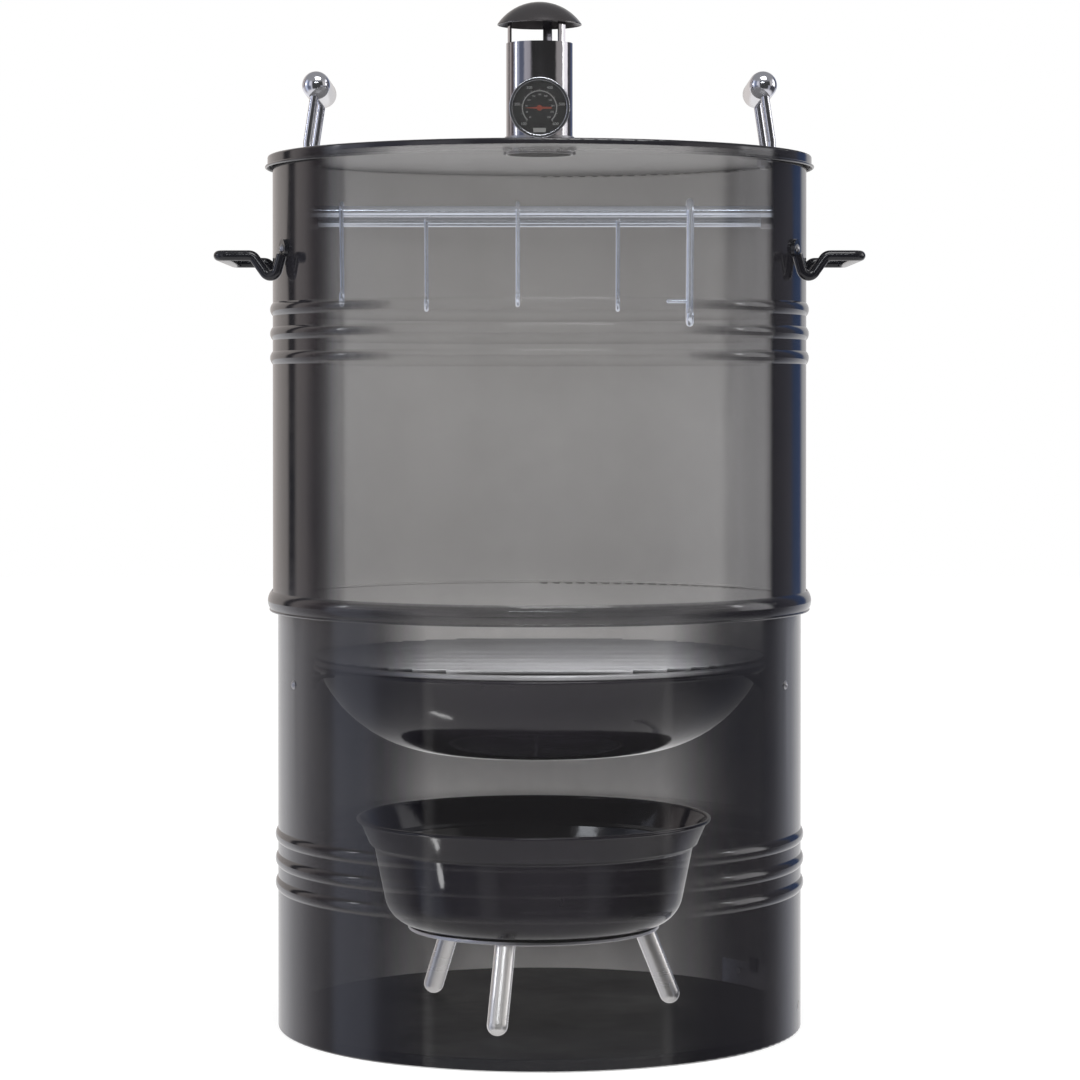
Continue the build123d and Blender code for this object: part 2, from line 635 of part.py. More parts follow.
def hook_solid(wire_r, drop, bend_r):
    """S-hook in the YZ plane, its upper crook centred on the bar at the origin."""
    crook = BAR_R + RUN + wire_r
    slant = (crook + bend_r) / drop
    lean = math.degrees(math.asin(slant))
    across = math.cos(math.radians(lean))
    upper_touch = (-crook * across, -crook * slant)
    lower_touch = (bend_r * across, bend_r * slant - drop)
    upper = CenterArc((0, 0), crook, -15, 195 + lean)
    shank = Line(upper_touch, lower_touch)
    lower = CenterArc((0, -drop), bend_r, lean, -185 - lean)
    path = Plane(origin=(0, 0, 0), x_dir=(0, 1, 0), z_dir=(1, 0, 0)) * Wire([upper, shank, lower])
    hook = sweep(Plane(origin=path @ 0, z_dir=path % 0) * Circle(wire_r), path=path)
    hook += Pos(*(path @ 0)) * Sphere(wire_r)
    tip = Plane(origin=path @ 1, z_dir=path % 1) * Pos(0, 0, HOOK_POINT / 2)
    return hook + tip * Cone(wire_r, wire_r * 0.15, HOOK_POINT)


def hook(x, side_y):
    """Plain hook on the front or back bar."""
    return Pos(x, side_y * BAR_Y, BAR_Z) * hook_solid(HOOK_WIRE_R, HOOK_DROP, HOOK_BEND_R)


def heavy_hook():
    """Thicker hook on the front bar, with a cross prong on its shank."""
    solid = Pos(HEAVY_HOOK_X, -BAR_Y, BAR_Z) * hook_solid(HEAVY_WIRE_R, HEAVY_DROP, HEAVY_BEND_R)
    crook = BAR_R + RUN + HEAVY_WIRE_R
    share = PRONG_DROP / HEAVY_DROP
    prong_z = BAR_Z - PRONG_DROP
    y = -BAR_Y - crook + share * (crook + HEAVY_BEND_R)
    prong = Rot(0, 90, 0) * Cylinder(PRONG_R, PRONG_LENGTH)
    solid += Pos(HEAVY_HOOK_X - PRONG_LENGTH / 2, y, prong_z) * prong
    solid += Pos(HEAVY_HOOK_X - PRONG_LENGTH, y, prong_z) * Sphere(PRONG_R)
    return solid


def lid_surface(radius):
    """Height of the lid's top at a radius."""
    flat_r = SKIRT_R - LID_SHOULDER
    crown = (flat_r**2 + LID_RISE**2) / (2 * LID_RISE)
    return LID_EDGE_Z + LID_RISE - crown + math.sqrt(crown**2 - radius**2)


def lid_pan():
    """Shallow domed lid with a hemmed skirt, a flue hole and handle holes."""
    flat_r = SKIRT_R - LID_SHOULDER
    hole_r = CHIMNEY_R + FIT
    hem_z = LID_EDGE_Z - SKIRT_DEPTH + HEM_R
    corner = FilletPolyline(
        (SKIRT_R, hem_z), (SKIRT_R, LID_EDGE_Z), (flat_r, LID_EDGE_Z), radius=CORNER_R)
    half_r = (flat_r + hole_r) / 2
    dome = ThreePointArc((flat_r, LID_EDGE_Z), (half_r, lid_surface(half_r)), (hole_r, lid_surface(hole_r)))
    section = sheet([corner, dome], SHEET)
    section += Pos(SKIRT_R + HEM_R - SHEET / 2, hem_z) * Circle(HEM_R)
    lid = spun(section)
    for x in (-LID_FOOT_X, LID_FOOT_X):
        for y in (-LID_FOOT_Y, LID_FOOT_Y):
            lid -= upright_rod(x, y, LID_EDGE_Z - LID_RISE, LID_EDGE_Z + LID_RISE, LID_ROD_R + HOLE_FIT)
    for angle in flange_angles():
        x, y, _ = polar(FLANGE_BOLT_RING, angle)
        lid -= upright_rod(x, y, LID_EDGE_Z, LID_EDGE_Z + 2 * LID_RISE, SMALL_BOLT_R + HOLE_FIT)
    return lid


def lid_foot_z(toward_rim=0.0):
    """Height of the lid's top at the handle feet, or a little nearer its rim."""
    return lid_surface(math.hypot(LID_FOOT_X, LID_FOOT_Y) + toward_rim)


def lid_handle(side):
    """U-shaped rod through the grip, threaded through the lid at both ends."""
    foot = lid_foot_z()
    half = [(LID_FOOT_X, -LID_FOOT_Y, foot - SHEET - LID_FOOT_LENGTH),
            (LID_FOOT_X, -LID_FOOT_Y, foot + LID_KNEE),
            (LID_GRIP_X, -LID_FOOT_Y, LID_GRIP_Z)]
    points = half + [(x, -y, z) for x, y, z in reversed(half)]
    rod = bent_rod(points, LID_BEND_R, LID_ROD_R)
    collar_z = lid_foot_z(-COLLAR_R) + FIT
    for y in (-LID_FOOT_Y, LID_FOOT_Y):
        rod += upright_rod(LID_FOOT_X, y, collar_z, collar_z + COLLAR_T, COLLAR_R)
    return rod if side > 0 else mirror(rod, Plane.YZ)


def lid_grip(side):
    """Round grip with domed ends, bored for the rod."""
    barrel_half = LID_GRIP_HALF - LID_GRIP_R * 0.75
    grip = Rot(90, 0, 0) * Cylinder(LID_GRIP_R, 2 * barrel_half)
    for y in (-barrel_half, barrel_half):
        grip += Pos(0, y, 0) * Sphere(LID_GRIP_R)
    grip &= Box(4 * LID_GRIP_R, 2 * LID_GRIP_HALF, 4 * LID_GRIP_R)
    grip -= Rot(90, 0, 0) * Cylinder(LID_ROD_R + FIT, 4 * LID_GRIP_HALF)
    return Pos(side * LID_GRIP_X, 0, LID_GRIP_Z) * grip


def lid_nuts():
    """Hexagon nuts on the handle rods, under the lid."""
    top = lid_foot_z(LID_NUT_R) - SHEET - FIT
    nut = extrude(RegularPolygon(LID_NUT_R, 6) - Circle(LID_ROD_R + FIT), LID_NUT_T)
    spots = [(x, y) for x in (-LID_FOOT_X, LID_FOOT_X) for y in (-LID_FOOT_Y, LID_FOOT_Y)]
    return Compound(children=[Pos(x, y, top - LID_NUT_T) * nut for x, y in spots])


def flange_angles():
    """Angles of the bolts round the chimney."""
    return [45 + count * 360 / FLANGE_BOLTS for count in range(FLANGE_BOLTS)]


def chimney_flange():
    """Collar that holds the chimney to the lid."""
    base = lid_surface(CHIMNEY_R) + FIT
    sleeve_in = CHIMNEY_R + FIT
    sleeve_out = sleeve_in + FLANGE_T
    path = FilletPolyline(
        (FLANGE_R, base + FLANGE_T), (sleeve_out, base + FLANGE_T),
        (sleeve_out, base + FLANGE_SLEEVE), radius=2.0)
    flange = spun(sheet([path], FLANGE_T, Side.LEFT))
    for angle in flange_angles():
        x, y, _ = polar(FLANGE_BOLT_RING, angle)
        flange -= upright_rod(x, y, base - FLANGE_T, base + 2 * FLANGE_T, SMALL_BOLT_R + HOLE_FIT)
    return flange


def flange_bolts():
    """The small bolts of the chimney flange."""
    seat = lid_surface(CHIMNEY_R) + 2 * FIT + FLANGE_T
    bolts = []
    for angle in flange_angles():
        x, y, _ = polar(FLANGE_BOLT_RING, angle)
        bolt = upright_rod(x, y, seat - FLANGE_T - SHEET - 3 * FIT - SMALL_NUT_T - 1, seat, SMALL_BOLT_R)
        bolt += Pos(x, y, seat) * dome_head(SMALL_HEAD_R, SMALL_HEAD_T)
        nut_z = lid_surface(FLANGE_BOLT_RING + SMALL_HEAD_R) - SHEET - SEAT - SMALL_NUT_T
        bolt += Pos(x, y, nut_z) * extrude(RegularPolygon(SMALL_HEAD_R, 6), SMALL_NUT_T)
        bolts.append(bolt)
    return Compound(children=bolts)


def chimney_tube():
    """Flue tube, bored for the thermometer."""
    bottom = lid_surface(CHIMNEY_R) - SHEET - CHIMNEY_UNDER
    tube = upright_rod(0, 0, bottom, CHIMNEY_TOP, CHIMNEY_R)
    tube -= upright_rod(0, 0, bottom, CHIMNEY_TOP, CHIMNEY_R - CHIMNEY_WALL)
    return tube - radial_rod(0, 2 * CHIMNEY_R, 0, DIAL_Z, BOSS_R + HOLE_FIT)


def hat_height(radius, under=0.0):
    """Height of the hat's outside at a radius, or of a surface a little under it."""
    drop = HAT_TOP_Z - HAT_EDGE_Z - HAT_BRIM
    crown = (HAT_R**2 + drop**2) / (2 * drop)
    return HAT_TOP_Z - crown + math.sqrt((crown - under)**2 - radius**2)


def chimney_hat():
    """Domed rain hat with a short brim."""
    top = HAT_EDGE_Z + HAT_BRIM
    half = HAT_R / 2
    brim = Line((HAT_R, HAT_EDGE_Z), (HAT_R, top))
    dome = ThreePointArc((HAT_R, top), (half, hat_height(half)), (0, HAT_TOP_Z))
    return spun(sheet([brim, dome], CHIMNEY_WALL))


def hat_strap(angle):
    """Flat strap from inside the tube up to the hat, its tab bent inward."""
    outer = CHIMNEY_R - CHIMNEY_WALL - FIT
    inner = outer - STRAP_T
    top = hat_height(outer, CHIMNEY_WALL) - FIT
    low = CHIMNEY_TOP - STRAP_HOLD
    half = math.degrees(STRAP_W / 2 / outer)
    strap = ring_segment(inner, outer, low, top, angle - half, angle + half)
    tab_half = half * 0.9
    tab = ring_segment(inner - STRAP_TAB, outer, top - STRAP_T, top, angle - tab_half, angle + tab_half)
    return strap + tab


def dial_front():
    """Y of the case's back face; the case opens towards -Y."""
    return -(CHIMNEY_R + CASE_GAP)


def disc(radius, back, front):
    """Disc on the thermometer's axis between two depths in front of the case's back."""
    base = dial_front()
    place = Pos(0, base - (back + front) / 2, DIAL_Z) * Rot(90, 0, 0)
    return place * Cylinder(radius, front - back)


def thermometer_case():
    """Round case with its threaded boss and the probe that reaches into the flue."""
    case = disc(CASE_R, 0, CASE_DEPTH) - disc(CASE_R - CASE_WALL, CASE_WALL, CASE_DEPTH + CASE_WALL)
    boss = disc(BOSS_R, -CASE_GAP - 3 * CHIMNEY_WALL, 0)
    probe = disc(PROBE_R, -PROBE_LENGTH, 0)
    pin_front = dial_back() + DIAL_T + NEEDLE_T + 3 * FIT
    return case + boss + probe + disc(PIN_R, 0, pin_front)


def dial_back():
    """Depth of the dial plate's back in the case."""
    return CASE_DEPTH * 0.45


def thermometer_nut():
    """Nut on the boss inside the flue."""
    back = -CASE_GAP - CHIMNEY_WALL - SEAT
    nut = RegularPolygon(BOSS_R + 4, 6) - Circle(BOSS_R + FIT)
    place = Pos(0, dial_front() - back, DIAL_Z) * Rot(90, 0, 0)
    nut = place * Pos(0, 0, -4) * extrude(nut, 4)
    return nut & upright_rod(0, 0, DIAL_Z - CHIMNEY_R, DIAL_Z + CHIMNEY_R, CHIMNEY_R - CHIMNEY_WALL - FIT)


def thermometer_dial():
    """Round dial plate with a hole for the needle's pin."""
    plate = disc(CASE_R - CASE_WALL - FIT, dial_back(), dial_back() + DIAL_T)
    return plate - disc(PIN_R + FIT, 0, CASE_DEPTH)


def thermometer_bezel():
    """Rolled bezel ring that holds the glass."""
    back = CASE_DEPTH + FIT - BEZEL_T / 2
    bezel = disc(BEZEL_R, back, back + BEZEL_T) - disc(BEZEL_IN_R, 0, 2 * CASE_DEPTH)
    bezel -= disc(CASE_R + FIT, 0, CASE_DEPTH + FIT)
    front = bezel.edges().filter_by(GeomType.CIRCLE).sort_by(Axis.Y)[:2]
    return fillet(front, 0.7)


def thermometer_glass():
    """Flat glass behind the bezel's lip."""
    front = CASE_DEPTH - FIT
    return disc(CASE_R - CASE_WALL - FIT, front - GLASS_T, front)


def thermometer_needle():
    """Thin needle on a hub, pointing left along the dial."""
    back = dial_back() + DIAL_T + FIT
    hub = disc(HUB_R, back, back + NEEDLE_T) + disc(HUB_R * 0.7, back, back + 2 * NEEDLE_T)
    outline = Polyline((-NEEDLE_TIP, 0), (0, -1.3), (NEEDLE_TAIL, -0.9), (NEEDLE_TAIL, 0.9), (0, 1.3),
                       close=True)
    plane = Plane(origin=(0, dial_front() - back, DIAL_Z), x_dir=(1, 0, 0), z_dir=(0, -1, 0))
    needle = hub + extrude(plane * make_face(outline), NEEDLE_T)
    return needle - disc(PIN_R + FIT, 0, back + NEEDLE_T + 2 * FIT)


def all_parts():
    """Every sub-part under its node name."""
    parts = {
        "lower_shell": lower_shell(),
        "floor_plate": floor_plate(),
        "shutter_strip": shutter_strip(),
        "shutter_knob": shutter_knob(),
        "fire_bowl": fire_bowl(),
        "bowl_base_ring": base_ring(),
        "fire_grate": fire_grate(),
        "drip_pan": drip_pan(),
        "cooking_grate": cooking_grate(),
        "pan_bracket_bolts": bracket_bolts(),
        "upper_shell": upper_shell(),
        "side_handle_bolts": side_bolts(),
        "joint_hoop": joint_hoop(),
        "lid_pan": lid_pan(),
        "lid_nuts": lid_nuts(),
        "chimney_flange": chimney_flange(),
        "chimney_flange_bolts": flange_bolts(),
        "chimney_tube": chimney_tube(),
        "chimney_hat": chimney_hat(),
        "thermometer_case": thermometer_case(),
        "thermometer_nut": thermometer_nut(),
        "thermometer_dial": thermometer_dial(),
        "thermometer_bezel": thermometer_bezel(),
        "thermometer_glass": thermometer_glass(),
        "thermometer_needle": thermometer_needle(),
        "hook_heavy": heavy_hook(),
    }
    for count, angle in enumerate(GUIDE_ANGLES, 1):
        parts[f"shutter_guide_{count}"] = shutter_guide(angle)
    for count, angle in enumerate(BRACKET_ANGLES, 1):
        parts[f"pan_bracket_{count}"] = pan_bracket(angle)
    for count, angle in enumerate(LEG_ANGLES, 1):
        parts[f"bowl_leg_{count}"] = leg(angle)
        parts[f"bowl_leg_bolt_{count}"] = leg_bolt(angle)
    for count in range(STRAPS):
        parts[f"hat_strap_{count + 1}"] = hat_strap(STRAP_ANGLE + count * 360 / STRAPS)
    for count, (x, side) in enumerate(HOOKS, 1):
        parts[f"hook_{count}"] = hook(x, side)
    for side_x, across in (("left", -1), ("right", 1)):
        parts[f"side_handle_{side_x}"] = side_handle(across)
        parts[f"lid_handle_rod_{side_x}"] = lid_handle(across)
        parts[f"lid_handle_grip_{side_x}"] = lid_grip(across)
    for side_y, deep in (("front", -1), ("back", 1)):
        parts[f"hanging_bar_{side_y}"] = hanging_bar(deep)
        for side_x, across in (("left", -1), ("right", 1)):
            parts[f"bar_cradle_{side_y}_{side_x}"] = bar_cradle(across, deep)
    return parts


os.makedirs("parts", exist_ok=True)
for name, solid in all_parts().items():
    export_step(solid, f"parts/{name}.step")
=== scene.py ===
# %% [markdown]
# # A vertical drum smoker
# The smoker is a steel barrel in two stacked sections. This lesson dresses a finished
# construction model of it: every piece is already in place and at its real size, and
# what is added here is the finish of each surface, the round ends of the lid's grips,
# the printed dial, the light and the camera. Blender works in metres, and the front
# faces -Y.
# %% Load the construction model
import math

import bmesh
import bpy
from mathutils import Matrix, Vector


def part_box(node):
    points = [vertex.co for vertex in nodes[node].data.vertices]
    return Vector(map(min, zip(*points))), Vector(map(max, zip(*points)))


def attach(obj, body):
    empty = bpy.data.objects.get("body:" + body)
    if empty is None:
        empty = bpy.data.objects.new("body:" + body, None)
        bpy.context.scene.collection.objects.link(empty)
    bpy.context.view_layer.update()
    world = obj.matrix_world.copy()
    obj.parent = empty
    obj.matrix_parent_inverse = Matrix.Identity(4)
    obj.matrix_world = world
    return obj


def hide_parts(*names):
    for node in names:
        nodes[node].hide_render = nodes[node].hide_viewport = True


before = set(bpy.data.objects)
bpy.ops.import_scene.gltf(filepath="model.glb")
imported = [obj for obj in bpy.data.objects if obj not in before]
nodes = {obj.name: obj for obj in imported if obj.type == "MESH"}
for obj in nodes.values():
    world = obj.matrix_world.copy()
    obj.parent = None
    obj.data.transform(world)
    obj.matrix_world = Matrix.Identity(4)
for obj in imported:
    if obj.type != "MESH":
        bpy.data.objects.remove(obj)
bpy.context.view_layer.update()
print("pieces in the construction model:", len(nodes))

# %% [markdown]
# ## The camera
# A long lens from nearly four metres keeps the barrel's sides parallel. The camera stands
# at about two thirds of the smoker's height, so rims above it show their undersides and
# the floor plate shows its top. Tilting a camera makes upright sides converge, so it
# tilts hardly at all, and the rest of the framing is done by sliding the frame down.
# %% Camera
CAMERA_DISTANCE = 3.72
CAMERA_HEIGHT = 0.682
CAMERA_ASIDE = 0.0005
AIM_HEIGHT = 0.640
FRAME_RISE = -0.1          # in frame widths; below zero the frame slides down
LENS = 114.5
FAR = 50                   # nothing beyond this is drawn

camera = bpy.data.objects.new("camera", bpy.data.cameras.new("camera"))
bpy.context.scene.collection.objects.link(camera)
camera.location = (CAMERA_ASIDE, -CAMERA_DISTANCE, CAMERA_HEIGHT)
aim = Vector((CAMERA_ASIDE, 0, AIM_HEIGHT)) - camera.location
camera.rotation_euler = aim.to_track_quat("-Z", "Y").to_euler()
camera.data.lens = LENS
camera.data.shift_y = FRAME_RISE
camera.data.clip_end = FAR
bpy.context.scene.camera = camera
bpy.context.scene.view_settings.view_transform = "Standard"
print("camera looks down", round(math.degrees(math.atan2(-aim.z, -camera.location.y)), 2), "degrees")

# %% [markdown]
# ## Helpers for node trees
# Materials, the world and shared effects are all trees of nodes. A node can be added by
# hand in the Shader Editor, or by three lines of script each time. A few small helpers
# keep those lines short, so that a finish further down reads like a recipe.
# %% Helpers: add a node, do sums


def add(tree, kind, **settings):
    """A node with its settings; names that are sockets set the socket's value."""
    node = tree.nodes.new(kind)
    for key, value in settings.items():
        if key in node.inputs:
            node.inputs[key].default_value = value
        else:
            setattr(node, key, value)
    return node


def math_node(tree, operation, first, second=None, clamp=False):
    """A math node fed by sockets or plain numbers."""
    node = tree.nodes.new("ShaderNodeMath")
    node.operation = operation
    node.use_clamp = clamp
    for socket, value in zip(node.inputs, (first, second)):
        if isinstance(value, bpy.types.NodeSocket):
            tree.links.new(value, socket)
        elif value is not None:
            socket.default_value = value
    return node.outputs[0]


def smooth(tree, value, low, high):
    """0 at low, 1 at high, smooth between; low may be the larger."""
    node = add(tree, "ShaderNodeMapRange", interpolation_type="SMOOTHSTEP")
    node.inputs["From Min"].default_value = low
    node.inputs["From Max"].default_value = high
    tree.links.new(value, node.inputs["Value"])
    return node.outputs[0]


print("helpers for sums:", [helper.__name__ for helper in (add, math_node, smooth)])

# %% Helpers: mix colours and shaders, and end a tree
MIX_COLOURS, MIXED_COLOUR = (6, 7), 2       # where a Mix node keeps its two colours, and the result


def mix_colour(tree, factor, first, second):
    """Mix two colours by a mask."""
    node = add(tree, "ShaderNodeMix", data_type="RGBA")
    tree.links.new(factor, node.inputs["Factor"])
    for place, value in zip(MIX_COLOURS, (first, second)):
        if isinstance(value, bpy.types.NodeSocket):
            tree.links.new(value, node.inputs[place])
        else:
            node.inputs[place].default_value = (*value, 1)
    return node.outputs[MIXED_COLOUR]


def mix_shaders(tree, factor, first, second):
    """The first shader where the factor is 0, the second where it is 1."""
    node = add(tree, "ShaderNodeMixShader")
    tree.links.new(factor, node.inputs[0])
    tree.links.new(first.outputs[0], node.inputs[1])
    tree.links.new(second.outputs[0], node.inputs[2])
    return node


def put_out(tree, shader, kind="ShaderNodeOutputMaterial"):
    """End the tree with a shader on its surface."""
    out = add(tree, kind)
    tree.links.new(shader.outputs[0], out.inputs["Surface"])


print("helpers for mixes:", [helper.__name__ for helper in (mix_colour, mix_shaders, put_out)])

# %% [markdown]
# ## The studio
# Glossy black enamel has hardly any colour of its own, and what the eye sees on it is
# the room. So the room is drawn with care: a ring of bright and dark panels round the
# smoker, painted on the world by compass direction. Modelled walls and screens would do
# too, but a ring of colours is quicker to change. There are two rings, because the lower
# section shows other stripes than the upper one. Seen from the camera's height, a mirror
# ray falls more steeply off the lower section, and that tells the two apart.
# %% The rings of panels
# Compass direction in degrees (0 is behind the camera, positive to its right) and colour.
# Mirror rays that fall more steeply than RING_CHANGE see the low ring, the others the high one.
PANELS = [
    (-180, (0.66, 0.62, 0.60)), (-138, (0.72, 0.66, 0.63)), (-135, (0.03, 0.03, 0.03)),
    (-130, (0.03, 0.03, 0.03)), (-127, (0.66, 0.60, 0.58)), (-119, (0.60, 0.54, 0.53)),
    (-111, (0.16, 0.13, 0.13)), (-103, (0.12, 0.10, 0.11)), (-98, (0.80, 0.84, 1.00)),
    (-80, (0.74, 0.80, 0.98)), (-72, (0.20, 0.23, 0.32)), (-58, (0.20, 0.23, 0.32)),
    (-52, (0.72, 0.72, 0.78)), (-34, (0.62, 0.61, 0.66)), (-27, (0.05, 0.05, 0.05)),
    (56, (0.05, 0.05, 0.05)), (63, (0.55, 0.53, 0.52)), (90, (0.60, 0.58, 0.57)),
    (94, (1.90, 1.88, 1.92)), (112, (1.90, 1.88, 1.92)), (116, (0.06, 0.06, 0.07)),
    (136, (0.14, 0.14, 0.17)), (141, (0.07, 0.12, 0.26)), (151, (0.07, 0.12, 0.26)),
    (155, (0.62, 0.62, 0.64)), (180, (0.66, 0.64, 0.63)),
]
LOW_PANELS = [
    (-180, (0.80, 0.79, 0.79)), (-160, (0.90, 0.89, 0.90)), (-146, (1.00, 0.99, 1.02)),
    (-127, (0.76, 0.74, 0.77)), (-113, (0.46, 0.44, 0.46)), (-104, (0.30, 0.29, 0.31)),
    (-98, (0.60, 0.64, 0.78)), (-80, (0.54, 0.58, 0.72)), (-72, (0.14, 0.15, 0.20)),
    (-46, (0.14, 0.15, 0.20)), (-40, (0.55, 0.56, 0.60)), (-32, (0.50, 0.50, 0.54)),
    (-26, (0.05, 0.05, 0.05)), (40, (0.05, 0.05, 0.05)), (46, (0.42, 0.42, 0.46)),
    (58, (0.36, 0.36, 0.40)), (66, (0.05, 0.05, 0.06)), (112, (0.07, 0.07, 0.08)),
    (124, (0.20, 0.20, 0.22)), (133, (0.42, 0.43, 0.48)), (142, (0.62, 0.63, 0.70)),
    (153, (0.85, 0.85, 0.88)), (165, (0.88, 0.87, 0.88)), (180, (0.82, 0.81, 0.81)),
]
RING_CHANGE = (-0.0645, -0.0600)   # slope of a mirror ray where the low ring gives way
OVERHEAD, OVERHEAD_TONE = (0.35, 0.62), (0.30, 0.30, 0.31)         # slopes of ray, none to full
UNDERFOOT, UNDERFOOT_TONE = (-0.42, -0.70), (0.80, 0.79, 0.80)
print("light panels round the smoker:", len(PANELS), "high and", len(LOW_PANELS), "low")

# %% [markdown]
# ## Painting the rings on the world
# The world knows only the direction in which a ray leaves. Its compass direction picks a
# colour on each ring, and its slope says which ring counts, or whether it is the grey
# ceiling or the pale floor. A panorama file could do the same, but the stops of a colour
# ramp are easier to move. Only mirror-like rays see all this. The camera, and rays that
# have passed through glass, see plain white, and matt surfaces get an even soft light.
# %% What mirrors see of the room


def ramp_node(tree, value, stops):
    """A colour ramp through (position, colour) stops."""
    node = tree.nodes.new("ShaderNodeValToRGB")
    elements = node.color_ramp.elements
    while len(elements) < len(stops):
        elements.new(0.5)
    for element, (position, colour) in zip(elements, stops):
        element.position = position
        element.color = (*colour, 1)
    tree.links.new(value, node.inputs[0])
    return node.outputs[0]


def room_colour(tree):
    """What a mirror sees of the room in each direction."""
    split = add(tree, "ShaderNodeSeparateXYZ")
    tree.links.new(add(tree, "ShaderNodeTexCoord").outputs["Generated"], split.inputs[0])
    slope = split.outputs["Z"]
    minus_y = math_node(tree, "MULTIPLY", split.outputs["Y"], -1.0)
    compass = math_node(tree, "ARCTAN2", split.outputs["X"], minus_y)
    turn = math_node(tree, "ADD", math_node(tree, "DIVIDE", compass, 2 * math.pi), 0.5)
    low, high = [ramp_node(tree, turn, [((degrees + 180) / 360, colour) for degrees, colour in ring])
                 for ring in (LOW_PANELS, PANELS)]
    room = mix_colour(tree, smooth(tree, slope, *RING_CHANGE), low, high)
    for limits, tone in ((OVERHEAD, OVERHEAD_TONE), (UNDERFOOT, UNDERFOOT_TONE)):
        room = mix_colour(tree, smooth(tree, slope, *limits), room, tone)
    return room


print("helpers for the world:", [helper.__name__ for helper in (ramp_node, room_colour)])

# %% World
MATT_LIGHT = 0.75


def studio_world():
    """A world that is white to the camera and a room to mirrors."""
    made = bpy.data.worlds.new("studio")
    made.use_nodes = True
    tree = made.node_tree
    tree.nodes.clear()
    mirror_sky = add(tree, "ShaderNodeBackground", Strength=1.0)
    tree.links.new(room_colour(tree), mirror_sky.inputs["Color"])
    plain_sky = add(tree, "ShaderNodeBackground", Color=(1, 1, 1, 1), Strength=1.0)
    matt_sky = add(tree, "ShaderNodeBackground", Color=(1, 1, 1, 1), Strength=MATT_LIGHT)
    rays = add(tree, "ShaderNodeLightPath")
    lit = mix_shaders(tree, rays.outputs["Is Glossy Ray"], matt_sky, mirror_sky)
    seen = math_node(tree, "MAXIMUM", rays.outputs["Is Camera Ray"], rays.outputs["Is Transmission Ray"])
    put_out(tree, mix_shaders(tree, seen, lit, plain_sky), "ShaderNodeOutputWorld")
    return made


bpy.context.scene.world = studio_world()
print("nodes in the world:", len(bpy.context.scene.world.node_tree.nodes))

# %% [markdown]
# ## The lamps
# Point lamps would throw hard shadows, and a studio has none. Area lamps are soft boxes:
# the larger the lamp, the softer its shadow. Two tall ones stand to the sides, one hangs
# overhead, and a broad one in front reaches the barrel's inner wall. None of them is meant
# to be looked at, so all are hidden from the camera and from rays through glass, and only
# those that should draw a bright line on a bar, a rim or a ball are left to mirrors.
# %% Lamps


def lamp(name, location, target, size, power, colour=(1, 1, 1), mirrored=False):
    """A rectangular soft lamp aimed at a point, seen in mirrors only where asked."""
    data = bpy.data.lights.new(name, "AREA")
    data.shape = "RECTANGLE"
    data.size, data.size_y = size
    data.energy = power
    data.color = colour
    holder = bpy.data.objects.new(name, data)
    holder.location = location
    holder.rotation_euler = (Vector(target) - Vector(location)).to_track_quat("-Z", "Y").to_euler()
    holder.visible_glossy = mirrored
    holder.visible_camera = holder.visible_transmission = False
    bpy.context.scene.collection.objects.link(holder)


lamp("lamp_top", (0.3, -1.2, 2.8), (0, 0, 0.6), (1.4, 1.0), 22, mirrored=True)
lamp("lamp_left", (-2.2, -2.4, 1.4), (0, 0, 0.5), (0.8, 2.0), 36, (0.97, 0.98, 1))
lamp("lamp_right", (1.9, -2.6, 1.2), (0, 0, 0.5), (0.8, 1.8), 12, (1, 0.99, 0.97))
lamp("lamp_inside", (0.0, -3.1, 0.75), (0, 0, 0.40), (1.2, 0.9), 26, (1, 0.99, 0.98))

# %% [markdown]
# ## Strips for the bright lines
# A glossy rod or rim looks glossy because something narrow and bright stands in its
# mirror. A brighter panel on the world would show on every other piece as well, and a
# small lamp can be put where only one piece mirrors it. One wide strip high in front
# draws the line along the hanging bars, one to each side lights the chrome grips, and two
# tiny ones inside the barrel put a short line on the fire bowl's outer and inner wall.
# %% Strips
MIDDLE = (0, -0.1, 0.5)       # what the two side strips aim at

lamp("strip_front", (0.0, -2.4, 1.85), (0, -0.1, 0.87), (1.1, 0.16), 5.5, (0.92, 0.96, 1), mirrored=True)
lamp("strip_bowl", (-0.205, -0.165, 0.155), (-0.108, -0.136, 0.17), (0.011, 0.08), 0.03, mirrored=True)
lamp("strip_coals", (-0.13, -0.05, 0.262), (0.055, 0.15, 0.200), (0.05, 0.03), 0.04, (0.9, 0.94, 1),
     mirrored=True)
lamp("strip_left", (-2.4, -0.05, 1.30), MIDDLE, (0.16, 0.40), 1.1, (0.95, 0.97, 1), mirrored=True)
lamp("strip_right", (2.4, 0.0, 1.30), MIDDLE, (0.16, 0.40), 1.1, (0.97, 0.98, 1), mirrored=True)

# %% [markdown]
# ## The floor
# The floor is white like the background and only keeps a soft shadow. A white matt floor
# alone would turn grey away from the lamps, so part of its light is its own. Mirrors look
# through it, so the stripes on the barrel run down to its foot and don't fade into white.
# %% The floor's material
FLOOR_GLOW = 0.78
FLOOR_TONE = 0.32


def new_material(name):
    """An empty node material, and the tree to work in."""
    made = bpy.data.materials.new(name)
    made.use_nodes = True
    made.node_tree.nodes.clear()
    return made, made.node_tree


